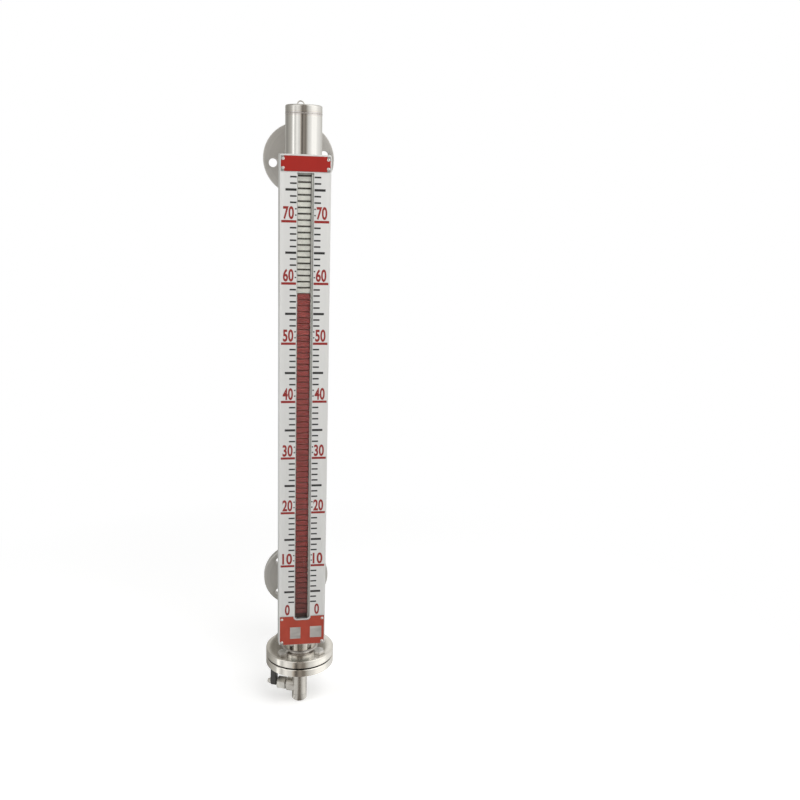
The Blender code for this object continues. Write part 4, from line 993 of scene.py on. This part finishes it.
def plate_outline(left, right, foot, top, foot_radius, top_radius):
    points = []
    for x, y, radius, start in (
        (right - foot_radius, foot + foot_radius, foot_radius, -90),
        (right - top_radius, top - top_radius, top_radius, 0),
        (left + top_radius, top - top_radius, top_radius, 90),
        (left + foot_radius, foot + foot_radius, foot_radius, 180),
    ):
        points += arc(x, y, radius, start, start + 90, 8) if radius else [(x, y)]
    return points


def facing_front(y):
    return at(0, y, 0) @ Matrix.Rotation(math.pi / 2, 4, "X")


def screw_places(node):
    low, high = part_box(node)
    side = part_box("scale_plate")[1].x - NAMEPLATE_HOLE_INSET
    levels = (low.z + NAMEPLATE_HOLE_INSET, high.z - NAMEPLATE_HOLE_INSET)
    return [(x, z) for x in (-side, side) for z in levels]


def screw_holes(node):
    return [arc(x, z, SCREW_HOLE_RADIUS, 0, 345, 23) for x, z in screw_places(node)]


def make_scale_plate():
    low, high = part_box("scale_plate")
    window_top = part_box("window_glass")[1].z - GLASS_LAP
    window = plate_outline(-WINDOW_HALF, WINDOW_HALF, WINDOW_FOOT, window_top, WINDOW_CORNER, 0)
    edge = plate_outline(low.x, high.x, low.z, high.z, PLATE_CORNER, PLATE_CORNER)
    plate = link("printed_scale_plate", sheet_mesh(
        "plate", [edge, window, *screw_holes("top_nameplate"), *screw_holes("bottom_nameplate")],
        high.y - low.y, PLATE_EDGE, facing_front((low.y + high.y) / 2),
    ))
    dress(plate, SCALE_FINISH, replaces=("scale_plate",))


def print_boxes(spans, front):
    return [
        ((min(x0, x1), front - PRINT_THICKNESS, z0), (max(x0, x1), front + PRINT_THICKNESS / 2, z1))
        for x0, x1, z0, z1 in spans
    ]


def print_on(name, spans, front, finish):
    dress(link(name, box_mesh(name, print_boxes(spans, front))), finish, sharp=0)


SCALE_STEP = 0.01
SCALE_STEPS = 78
MARK_START = 0.0143
TEN_MARK = (0.0386, 0.002)
FIVE_MARK = (0.0321, 0.0019)
ONE_MARK = (0.0248, 0.0013)
DOT_MARK = (0.0167, 0.0011)


def make_scale_print():
    """Red lines at each ten, long black ones between, short ones at each centimetre."""
    red, black = [], []
    for step in range(3, SCALE_STEPS):
        if step % 10 == 0:
            spans, (end, half) = red, TEN_MARK
        elif step % 5 == 0:
            spans, (end, half) = black, FIVE_MARK
        else:
            spans, (end, half) = black, DOT_MARK if step % 10 in (1, 2) else ONE_MARK
        level = step * SCALE_STEP
        spans += [(side * MARK_START, side * end, level - half, level + half) for side in (-1, 1)]
    print_on("red_scale_lines", red, SCALE_FRONT, RED_SCALE_PRINT)
    print_on("black_scale_lines", black, SCALE_FRONT, BLACK_PRINT)


FIGURE_WIDTH = 0.0089
FIGURE_HEIGHT = 0.0208
FIGURE_STROKE = 0.03
FIGURE_SPACING = 1.04
FIGURE_DEPTH = 0.01
FIGURE_WIDTH_SHARE = 0.97
TEN_FIGURE_PLACE = (0.0268, 0.0032)
ZERO_FIGURE_PLACE = (0.0262, 0.0046)


def figure_mesh(text, left, foot, width, height):
    """Condensed figures, drawn by the built-in typeface and fitted to a box."""
    drawn = bpy.data.curves.new("figure", "FONT")
    drawn.body = text
    drawn.fill_mode = "BOTH"
    drawn.offset = FIGURE_STROKE
    drawn.extrude = FIGURE_DEPTH
    drawn.space_character = FIGURE_SPACING
    mesh = drawn_mesh("figure", drawn)
    xs = [vertex.co.x for vertex in mesh.vertices]
    ys = [vertex.co.y for vertex in mesh.vertices]
    flatten = PRINT_THICKNESS / (2 * FIGURE_DEPTH)
    scale = Matrix.Diagonal((width / (max(xs) - min(xs)), height / (max(ys) - min(ys)), flatten, 1))
    move = at(left, SCALE_FRONT - PRINT_THICKNESS / 4, foot) @ Matrix.Rotation(math.pi / 2, 4, "X")
    mesh.transform(move @ scale @ Matrix.Translation((-min(xs), -min(ys), 0)))
    return mesh


def make_figures():
    form = bmesh.new()
    for ten in range(8):
        text = str(ten * 10)
        width = FIGURE_WIDTH * len(text)
        centre, rise = TEN_FIGURE_PLACE if ten else ZERO_FIGURE_PLACE
        foot = ten * 10 * SCALE_STEP + rise
        for side in (-1, 1):
            left = side * centre - width / 2
            mesh = figure_mesh(text, left, foot, width * FIGURE_WIDTH_SHARE, FIGURE_HEIGHT)
            form.from_mesh(mesh)
            bpy.data.meshes.remove(mesh)
    figures = link("scale_figures", mesh_of("scale_figures", form))
    dress(figures, RED_SCALE_PRINT, sharp=0)


def window_notch(top, margin):
    """The edge that goes round the window's foot, from right to left."""
    half = WINDOW_HALF + NOTCH_MARGIN + margin
    foot = WINDOW_FOOT - NOTCH_MARGIN - margin
    radius = WINDOW_CORNER + margin
    return [
        (half, top), *arc(half - radius, foot + radius, radius, 0, -90, 8),
        *arc(radius - half, foot + radius, radius, -90, -180, 8), (-half, top),
    ]


def make_nameplates():
    for node, name in (("top_nameplate", "top_plate_metal"), ("bottom_nameplate", "bottom_plate_metal")):
        low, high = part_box(node)
        notch = window_notch(high.z, 0) if node == "bottom_nameplate" else []
        outline = [(low.x, low.z), (high.x, low.z), (high.x, high.z), *notch, (low.x, high.z)]
        plate = link(name, sheet_mesh(
            "plate", [outline, *screw_holes(node)], high.y - low.y, NAMEPLATE_EDGE,
            facing_front((low.y + high.y) / 2),
        ))
        dress(plate, NAMEPLATE_FINISH, replaces=(node,))
        for number, (turn, (x, z)) in enumerate(zip(SCREW_TURNS_DEGREES, screw_places(node)), start=1):
            make_small_screw(f"{name}_screw_{number}", x, z, turn)


def make_small_screw(name, x, z, turn):
    """A pan head with a cross slot, on a nameplate's corner."""
    dome = arc(0, SCREW_HEAD_LIFT, SCREW_HEAD_RADIUS, 0, 90, 6)
    screw = link(name, spun_mesh(name, [
        (0, -SCREW_SHANK_LENGTH), (SCREW_SHANK_RADIUS, -SCREW_SHANK_LENGTH), (SCREW_SHANK_RADIUS, 0),
        *((radius, rise * SCREW_DOME_SHARE) for radius, rise in dome),
    ], 32, closed=False))
    long, narrow = SCREW_SLOT_HALF_LENGTH, SCREW_SLOT_HALF_WIDTH
    shape(screw, "DIFFERENCE", box_mesh("slots", [
        ((-x_half, -y_half, SCREW_SLOT_FLOOR), (x_half, y_half, SCREW_SLOT_TOP))
        for x_half, y_half in ((long, narrow), (narrow, long))
    ]))
    turning = Matrix.Rotation(math.pi / 2, 4, "X") @ Matrix.Rotation(math.radians(turn), 4, "Z")
    screw.data.transform(at(x, NAMEPLATE_FRONT, z) @ turning)
    dress(screw, SCREW_FINISH)


TOP_FIELD_NOTCH = (0.0052, 0.0066)
BOTTOM_FIELD_NOTCH = 0.006
FIELD_MARGIN = 0.0006
PALE_SQUARES = ((-0.0215, -0.0027, -0.0415, -0.019), (0.0143, 0.035, -0.0405, -0.0185))


def make_red_fields():
    """The two red prints, their corners notched round the screws, and the pale squares."""
    low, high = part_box("top_nameplate")
    notch_x, notch_z = TOP_FIELD_NOTCH
    x, foot, top = high.x, low.z, high.z
    print_on("top_red_field", [
        (-x + notch_x, x - notch_x, foot, top), (-x, -x + notch_x, foot + notch_z, top - notch_z),
        (x - notch_x, x, foot + notch_z, top - notch_z),
    ], NAMEPLATE_FRONT, RED_PRINT)
    low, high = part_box("bottom_nameplate")
    foot, top = low.z, high.z
    notch = BOTTOM_FIELD_NOTCH
    outline = [
        (-x, foot + notch), (-x + notch, foot + notch), (-x + notch, foot), (x - notch, foot),
        (x - notch, foot + notch), (x, foot + notch), (x, top), *window_notch(top, FIELD_MARGIN), (-x, top),
    ]
    place = facing_front(NAMEPLATE_FRONT - PRINT_THICKNESS / 4)
    field = link("bottom_red_field", sheet_mesh("field", [outline], PRINT_THICKNESS * 1.5, 0, place))
    dress(field, FADED_RED_PRINT, sharp=0)
    print_on("pale_squares", PALE_SQUARES, NAMEPLATE_FRONT - PRINT_THICKNESS, PALE_PRINT)


# Clamps

BAND_THICKNESS = 0.002
BAND_BEND = 0.0025
BAND_EDGE = 0.0003
BAND_HOLE_RADIUS = 0.0023
CLAMP_HEAD_RADIUS = 0.0035
CLAMP_HEAD_HEIGHT = 0.0026
CLAMP_SHANK_RADIUS = 0.002
CLAMP_SHANK_POINT = 0.0004
CLAMP_SOCKET_RADIUS = 0.00145
CLAMP_SOCKET_FLOOR = 0.0011
CLAMP_SCREW_TURN_DEGREES = 13
LEAST_MITRE = 0.3


def offset_line(points, distance):
    """A line beside an open line, mitred at its corners."""
    moved = []
    for index, point in enumerate(points):
        before = points[max(index - 1, 0)]
        after = points[min(index + 1, len(points) - 1)]
        one = (Vector(point) - Vector(before)).normalized() if index else None
        two = (Vector(after) - Vector(point)).normalized() if index < len(points) - 1 else None
        one, two = one or two, two or one
        normal = Vector((-one.y - two.y, one.x + two.x)).normalized()
        reach = distance / max(normal.dot(Vector((-one.y, one.x))), LEAST_MITRE)
        moved.append((point[0] + normal.x * reach, point[1] + normal.y * reach))
    return moved


def make_band(number, screws):
    """A strip bent round the tube, with an ear on each side for its screw."""
    low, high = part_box(f"clamp_band_{number}")
    level = (low.z + high.z) / 2
    half = BAND_THICKNESS / 2
    middle = CHAMBER_RADIUS + FIT + half
    ear_y = low.y - AXIS_Y + half
    right_bend = arc(middle + BAND_BEND, ear_y + BAND_BEND, BAND_BEND, -90, -180, 6)
    left_bend = arc(-middle - BAND_BEND, ear_y + BAND_BEND, BAND_BEND, 0, -90, 6)
    path = [(high.x, ear_y), *right_bend, *arc(0, 0, middle, 0, 180, 48), *left_bend, (low.x, ear_y)]
    outline = offset_line(path, half) + list(reversed(offset_line(path, -half)))
    band = link(f"bent_band_{number}", sheet_mesh(
        "band", [outline], high.z - low.z, BAND_EDGE, at(0, AXIS_Y, level),
    ))
    for near, far in screws:
        place = at((near.x + far.x) / 2, AXIS_Y + ear_y, level) @ Matrix.Rotation(math.pi / 2, 4, "X")
        drill(band, BAND_HOLE_RADIUS, -OVERRUN, OVERRUN, 32, place)
    dress(band, BAND_FINISH, replaces=(f"clamp_band_{number}",))


def make_clamp_screw(number, low, high):
    """A button head with a hexagon socket."""
    radius, rise = CLAMP_HEAD_RADIUS, CLAMP_HEAD_HEIGHT
    foot = rise - (high.y - low.y)
    dome = [(across, up * rise / radius) for across, up in arc(0, 0, radius, 90, 12, 7)]
    screw = link(f"socket_screw_{number}", spun_mesh("screw", [
        *dome, (radius, 0), (CLAMP_SHANK_RADIUS, 0), (CLAMP_SHANK_RADIUS, foot + CLAMP_SHANK_POINT),
        (CLAMP_SHANK_RADIUS - CLAMP_SHANK_POINT, foot), (0, foot),
    ], 40, closed=False))
    drill(screw, CLAMP_SOCKET_RADIUS, CLAMP_SOCKET_FLOOR, rise + OVERRUN, 6)
    place = at((low.x + high.x) / 2, high.y - rise, (low.z + high.z) / 2)
    turn = Matrix.Rotation(math.radians(CLAMP_SCREW_TURN_DEGREES * number), 4, "Z")
    screw.data.transform(place @ Matrix.Rotation(-math.pi / 2, 4, "X") @ turn)
    dress(screw, SCREW_FINISH, replaces=(f"clamp_screw_{number}",))


def make_clamps():
    screws = [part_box(f"clamp_screw_{number}") for number in range(1, 7)]
    for number in (1, 2, 3):
        make_band(number, screws[number * 2 - 2:number * 2])
    for number, (low, high) in enumerate(screws, start=1):
        make_clamp_screw(number, low, high)


# Drain valve, its stem's sizes measured along the stem from the ball's centre

SPIGOT_LENGTH = 0.012
HUB_RADIUS = 0.024
NECK_RADIUS = 0.014
FLARE_HEIGHT = 0.036
BOSS_RADIUS = 0.0128
BOSS_REACH = 0.023
CASTING_EDGE = 0.0005
WATERWAY_RADIUS = 0.005
BALL_CHAMBER_RADIUS = 0.0103
BALL_CHAMBER_HALF = 0.0095
GLAND_SEAT_RADIUS = 0.008
GLAND_SEAT_REACH = (0.0124, 0.028)
STEM_BORE_RADIUS = 0.0038
STEM_RADIUS = 0.0035
STEM_CHAMFER = 0.0005
STEM_REACH = (0.0088, 0.063)
TANG_HALF_SIZES = (0.0027, 0.0012)
TANG_REACH = (0.0055, 0.014)
END_SPIGOT_RADIUS = 0.01
END_HEX_HEIGHT = 0.012
END_CHAMFER = 0.001
END_FLAT = 0.0132
END_THREAD_RADIUS = 0.0075
END_THREAD_DEPTH = 0.008
GLAND_FLATS = 0.022
GLAND_REACH = (0.026, 0.042)
GLAND_NECK_RADIUS = 0.0077
GLAND_NECK_REACH = (0.016, 0.034)
LEVER_HUB_RADIUS = 0.0068
LEVER_TIP_RADIUS = 0.0055
LEVER_LENGTH = 0.036
LEVER_THICKNESS = 0.011
LEVER_EDGE = 0.0012
LEVER_REACH = 0.0505
LOCK_NUT_FLATS = 0.010
LOCK_NUT_REACH = (0.0563, 0.0603)
NUT_EDGE = 0.0003


def stem_place():
    along = Vector(STEM_ALONG)
    turning = Matrix((Vector(UP), along.cross(Vector(UP)), along)).transposed().to_4x4()
    return at(0, AXIS_Y, VALVE_Z) @ turning


def make_valve_body(centre, stem):
    low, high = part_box("drain_valve_body")
    top = high.z - SPIGOT_LENGTH
    flare = [
        (HUB_RADIUS - (HUB_RADIUS - NECK_RADIUS) * math.sin(a), top - FLARE_HEIGHT * (1 - math.cos(a)))
        for a in (math.pi / 2 * step / 16 for step in range(17))
    ]
    body = link("cast_valve_body", spun_mesh("body", [
        (0, high.z), (SPIGOT_RADIUS, high.z), (SPIGOT_RADIUS, top), *flare, (NECK_RADIUS, low.z), (0, low.z),
    ], 96, closed=False, place=centre))
    shape(body, "UNION", prism_mesh("boss", BOSS_RADIUS, 0, BOSS_REACH, 80, stem))
    ball_top = VALVE_Z + BALL_CHAMBER_HALF
    shape(body, "DIFFERENCE", spun_mesh("passage", [
        (0, high.z + OVERRUN), (WATERWAY_RADIUS, high.z + OVERRUN), (WATERWAY_RADIUS, ball_top),
        (BALL_CHAMBER_RADIUS, ball_top), (BALL_CHAMBER_RADIUS, low.z - OVERRUN), (0, low.z - OVERRUN),
    ], 64, closed=False, place=centre))
    floor, mouth = GLAND_SEAT_REACH
    shape(body, "DIFFERENCE", spun_mesh("stem_passage", [
        (0, mouth), (GLAND_SEAT_RADIUS, mouth), (GLAND_SEAT_RADIUS, floor), (STEM_BORE_RADIUS, floor),
        (STEM_BORE_RADIUS, 0), (0, 0),
    ], 64, closed=False, place=stem))
    round_edges(body, CASTING_EDGE, 3, 30)
    dress(body, VALVE_FINISH, replaces=("drain_valve_body",))


def make_valve_end(centre):
    low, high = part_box("drain_valve_end")
    shoulder = low.z + END_HEX_HEIGHT
    thread_top = low.z + END_THREAD_DEPTH
    end = link("turned_valve_end", spun_mesh("end", [
        (END_SPIGOT_RADIUS, high.z), (END_SPIGOT_RADIUS, shoulder), (NECK_RADIUS, shoulder),
        (NECK_RADIUS, low.z + END_CHAMFER), (NECK_RADIUS - END_CHAMFER, low.z), (END_THREAD_RADIUS, low.z),
        (END_THREAD_RADIUS, thread_top), (WATERWAY_RADIUS, thread_top), (WATERWAY_RADIUS, high.z),
    ], 96, place=centre))
    for side in (-1, 1):
        near, far = sorted((side * END_FLAT, side * (NECK_RADIUS + OVERRUN)))
        flat = box_mesh("flat", [
            ((near, -NECK_RADIUS, low.z - OVERRUN), (far, NECK_RADIUS, shoulder - END_CHAMFER)),
        ])
        flat.transform(centre @ Matrix.Rotation(math.pi / 4, 4, "Z"))
        shape(end, "DIFFERENCE", flat)
    round_edges(end, NUT_EDGE, 2, 30)
    dress(end, VALVE_FINISH, replaces=("drain_valve_end",))


def make_gland_and_stem(stem):
    gland = link("hex_gland_nut", hex_mesh("gland", GLAND_FLATS, *GLAND_REACH))
    round_edges(gland, NUT_EDGE, 2, 30)
    shape(gland, "UNION", prism_mesh("neck", GLAND_NECK_RADIUS, *GLAND_NECK_REACH, 64))
    drill(gland, STEM_BORE_RADIUS, GLAND_NECK_REACH[0] - OVERRUN, GLAND_REACH[1] + OVERRUN, 48)
    gland.data.transform(stem)
    dress(gland, STEM_FINISH, replaces=("drain_valve_gland_nut",))

    near, far = STEM_REACH
    rod = link("turned_stem", spun_mesh("stem", [
        (0, far), (STEM_RADIUS - STEM_CHAMFER, far), (STEM_RADIUS, far - STEM_CHAMFER), (STEM_RADIUS, near),
        (0, near),
    ], 48, closed=False))
    x, y = TANG_HALF_SIZES
    near, far = TANG_REACH
    shape(rod, "UNION", box_mesh("tang", [((-x, -y, near), (x, y, far))]))
    rod.data.transform(stem)
    dress(rod, STEM_FINISH, HANDLE, ("drain_valve_stem",))


def make_lever(stem):
    tip = LEVER_LENGTH - LEVER_TIP_RADIUS
    outline = [*arc(0, 0, LEVER_HUB_RADIUS, 90, 270, 24), *arc(tip, 0, LEVER_TIP_RADIUS, -90, 90, 24)]
    lever = link("black_lever", sheet_mesh(
        "lever", [outline], LEVER_THICKNESS, LEVER_EDGE, at(0, 0, LEVER_REACH),
    ))
    drill(lever, STEM_BORE_RADIUS, LEVER_REACH - 2 * OVERRUN, LEVER_REACH + 2 * OVERRUN, 48)
    lever.data.transform(stem)
    dress(lever, LEVER_FINISH, HANDLE, ("drain_valve_lever",), sharp=50)

    nut = link("lever_lock_nut", hex_mesh("nut", LOCK_NUT_FLATS, *LOCK_NUT_REACH))
    drill(nut, STEM_BORE_RADIUS, LOCK_NUT_REACH[0] - OVERRUN, LOCK_NUT_REACH[1] + OVERRUN, 40)
    round_edges(nut, HEX_EDGE, 2, 30)
    nut.data.transform(stem)
    dress(nut, BOLT_FINISH, HANDLE, ("drain_valve_lever_nut",))


def make_valve():
    centre, stem = at(0, AXIS_Y, 0), stem_place()
    make_valve_body(centre, stem)
    make_valve_end(centre)
    make_gland_and_stem(stem)
    make_lever(stem)


# CAD pieces that keep their shape

RED_TURNING_FLAPS = range(51, 57)
WHITE_TURNING_FLAPS = range(57, 63)


def finish_cad_pieces():
    for finish, nodes in (
        (HOUSING_FINISH, ("indicator_housing", "housing_top_cap", "housing_bottom_cap")),
        (GLASS_FINISH, ("window_glass",)),
        (RAIL_FINISH, ("flap_rail",)),
        (GASKET_FINISH, ("flange_gasket",)),
        (FLOAT_FINISH, ("float_shell", "float_dome")),
        (MAGNET_FINISH, ("float_magnet",)),
        (WIRE_FINISH, ("lower_buffer_spring", "upper_buffer_spring")),
        (BALL_FINISH, ("drain_valve_ball",)),
        (SEAL_FINISH, ("drain_valve_seat_upper", "drain_valve_seat_lower", "drain_valve_packing")),
        (RED_FLAP_FINISH, [f"flap_{number}" for number in RED_TURNING_FLAPS]),
        (WHITE_FLAP_FINISH, [f"flap_{number}" for number in WHITE_TURNING_FLAPS]),
    ):
        for node in nodes:
            for slot in frame["nodes"][node].material_slots:
                slot.material = finish


# Studio

PHOTO_EYE = Vector((-0.10658, -1.67548, 0.77708))
PHOTO_RIGHT = Vector((0.98445921, -0.17205801, 0.03515835))
PHOTO_UP = Vector((0.00791998, 0.24349858, 0.96986892))
PHOTO_FORWARD = Vector((0.17543473, 0.95451793, -0.24107712))
PHOTO_ROLL = math.radians(0.066)
PHOTO_SWING = math.radians(0.0413)
LENS_MILLIMETRES = 40.585
SENSOR_MILLIMETRES = 36
NEAREST_SEEN = 0.01
FLOOR_RADII = (1.5, 3.0, 6.0)
FLOOR_DROP = 0.0006
FLOOR_FADE = (0.3, 1.1)
BLACK = (0, 0, 0)
WHITE = (1, 1, 1)
PAPER = (0.93, 0.93, 0.93)
FAR_PAPER = (0.85, 0.85, 0.85)
ROOM_LIGHT = (0.5, 0.5, 0.495)
LAMPS = (
    ("high_front_lamp", (0.4, -1.25, 1.6), (0, -0.15, 0.6), 0.9, 11.0),
    ("right_lamp", (1.6, -0.4, 0.9), (0, -0.1, 0.35), 1.0, 7.0),
    ("left_lamp", (-1.6, -0.5, 0.8), (0, -0.1, 0.35), 1.0, 8.0),
)


def make_camera():
    lens = bpy.data.cameras.new("photo_camera")
    lens.lens = LENS_MILLIMETRES
    lens.sensor_width = SENSOR_MILLIMETRES
    lens.clip_start = NEAREST_SEEN
    camera = link("photo_camera", lens)
    turning = Matrix((PHOTO_RIGHT, PHOTO_UP, -PHOTO_FORWARD)).transposed().to_4x4()
    nudge = Matrix.Rotation(PHOTO_SWING, 4, "Y") @ Matrix.Rotation(-PHOTO_ROLL, 4, "Z")
    camera.matrix_world = Matrix.Translation(PHOTO_EYE) @ turning @ nudge
    bpy.context.scene.camera = camera


def studio_panels(tree, direction):
    """What polished metal mirrors: a dark gap behind the camera and pale panels on both sides."""
    towards_eye = Vector((-PHOTO_FORWARD.x, -PHOTO_FORWARD.y, 0)).normalized()
    to_right = Vector((-towards_eye.y, towards_eye.x, 0))
    across = vector_sums(tree, "DOT_PRODUCT", direction, tuple(to_right), output=1)
    ahead = vector_sums(tree, "DOT_PRODUCT", direction, tuple(towards_eye), output=1)
    share = spread(tree, sums(tree, "ARCTAN2", across, ahead), -math.pi, math.pi)
    grey, dark, white = Vector((1.0, 0.98, 0.92)), Vector((1.0, 0.9, 0.8)), Vector((1.0, 1.0, 0.985))
    return ramp(tree, share, [
        (0.0, white), (0.05, grey * 0.55), (0.117, grey * 0.48), (0.175, grey * 0.38), (0.219, grey * 0.5),
        (0.267, grey * 0.66), (0.308, white * 0.82), (0.322, white * 1.7), (0.335, white * 1.75),
        (0.35, white * 1.15), (0.367, white * 0.78), (0.385, white * 1.2), (0.405, white * 1.4),
        (0.425, white * 1.15), (0.452, white), (0.466, dark * 0.8), (0.478, dark * 0.34),
        (0.49, dark * 0.1), (0.508, dark * 0.34), (0.525, dark * 0.42), (0.542, dark * 0.28),
        (0.56, dark * 0.34), (0.577, grey * 0.68), (0.6, white), (0.631, white * 1.2),
        (0.665, white * 1.6), (0.745, white * 1.7), (0.781, white * 1.3), (0.842, white * 1.1),
        (0.95, grey * 0.7), (1.0, white),
    ])


def make_floor():
    """White paper for the camera; near the gauge, mirrored rays meet the panels on it."""
    outline = [(0, 0), *((radius, 0) for radius in FLOOR_RADII)]
    floor = link("studio_floor", spun_mesh("studio_floor", outline, 64, closed=False))
    floor.location = (0, AXIS_Y, cad_low.z - FLOOR_DROP)
    material, tree, shader, place = new_finish(
        "pale studio floor", Roughness=0.9, Emission_Strength=1.0, Specular_IOR_Level=0.0,
    )
    path = put(tree, "ShaderNodeLightPath").outputs
    mirrored = path["Is Glossy Ray"]
    shown = sums(tree, "ADD", path["Is Camera Ray"], mirrored, clamp=True)
    shown = sums(tree, "ADD", shown, path["Is Transmission Ray"], clamp=True)
    away = spread(tree, vector_sums(tree, "LENGTH", place, output=1), *FLOOR_FADE)
    faded = sums(tree, "MAXIMUM", sums(tree, "MULTIPLY", away, shown), mirrored)
    tree.links.new(blend_colour(tree, faded, PAPER, BLACK), shader.inputs["Base Color"])
    glow = sums(tree, "MULTIPLY", shown, between(tree, away, 0.3, 1.0))
    glow = blend_colour(tree, glow, BLACK, WHITE)
    near = blend_colour(tree, 0.15, studio_panels(tree, place), BLACK)
    beside = blend_colour(tree, away, near, FAR_PAPER)
    tree.links.new(blend_colour(tree, mirrored, glow, beside), shader.inputs["Emission Color"])
    floor.data.materials.append(material)


def make_world():
    """White for the camera, the panels for mirrored rays and a soft grey for other light."""
    world = bpy.data.worlds.new("studio")
    bpy.context.scene.world = world
    world.use_nodes = True
    tree = world.node_tree
    path = put(tree, "ShaderNodeLightPath").outputs
    panels = studio_panels(tree, put(tree, "ShaderNodeTexCoord").outputs["Generated"])
    colour = blend_colour(tree, path["Is Glossy Ray"], ROOM_LIGHT, panels)
    seen = sums(tree, "ADD", path["Is Camera Ray"], path["Is Transmission Ray"], clamp=True)
    colour = blend_colour(tree, seen, colour, WHITE)
    tree.links.new(colour, tree.nodes["Background"].inputs["Color"])


def make_lights():
    for name, place, target, size, power in LAMPS:
        lamp = bpy.data.lights.new(name, "AREA")
        lamp.shape = "DISK"
        lamp.size = size
        lamp.energy = power
        holder = link(name, lamp)
        aim = (Vector(target) - Vector(place)).to_track_quat("-Z", "Y")
        holder.matrix_world = Matrix.Translation(place) @ aim.to_matrix().to_4x4()
        holder.visible_glossy = False


make_chamber()
make_loop()
# The upper flange gets the lighter copy of the flange steel and the lower one the darker: painted light and
# shade
for side, height, base, roughness in (
    ("upper", UPPER_NOZZLE_Z, LIT_FLANGE_STEEL, (0.42, 0.56)), ("lower", 0, SHADED_FLANGE_STEEL, (0.36, 0.5)),
):
    make_nozzle(side, height, nozzle_finish(side, height), flange_finish(side, height, base, roughness))
make_end_flanges()
make_scale_plate()
make_scale_print()
make_figures()
make_nameplates()
make_red_fields()
make_clamps()
make_valve()
finish_cad_pieces()
make_camera()
make_floor()
make_world()
make_lights()

scene = bpy.context.scene
scene.view_settings.view_transform = "Standard"
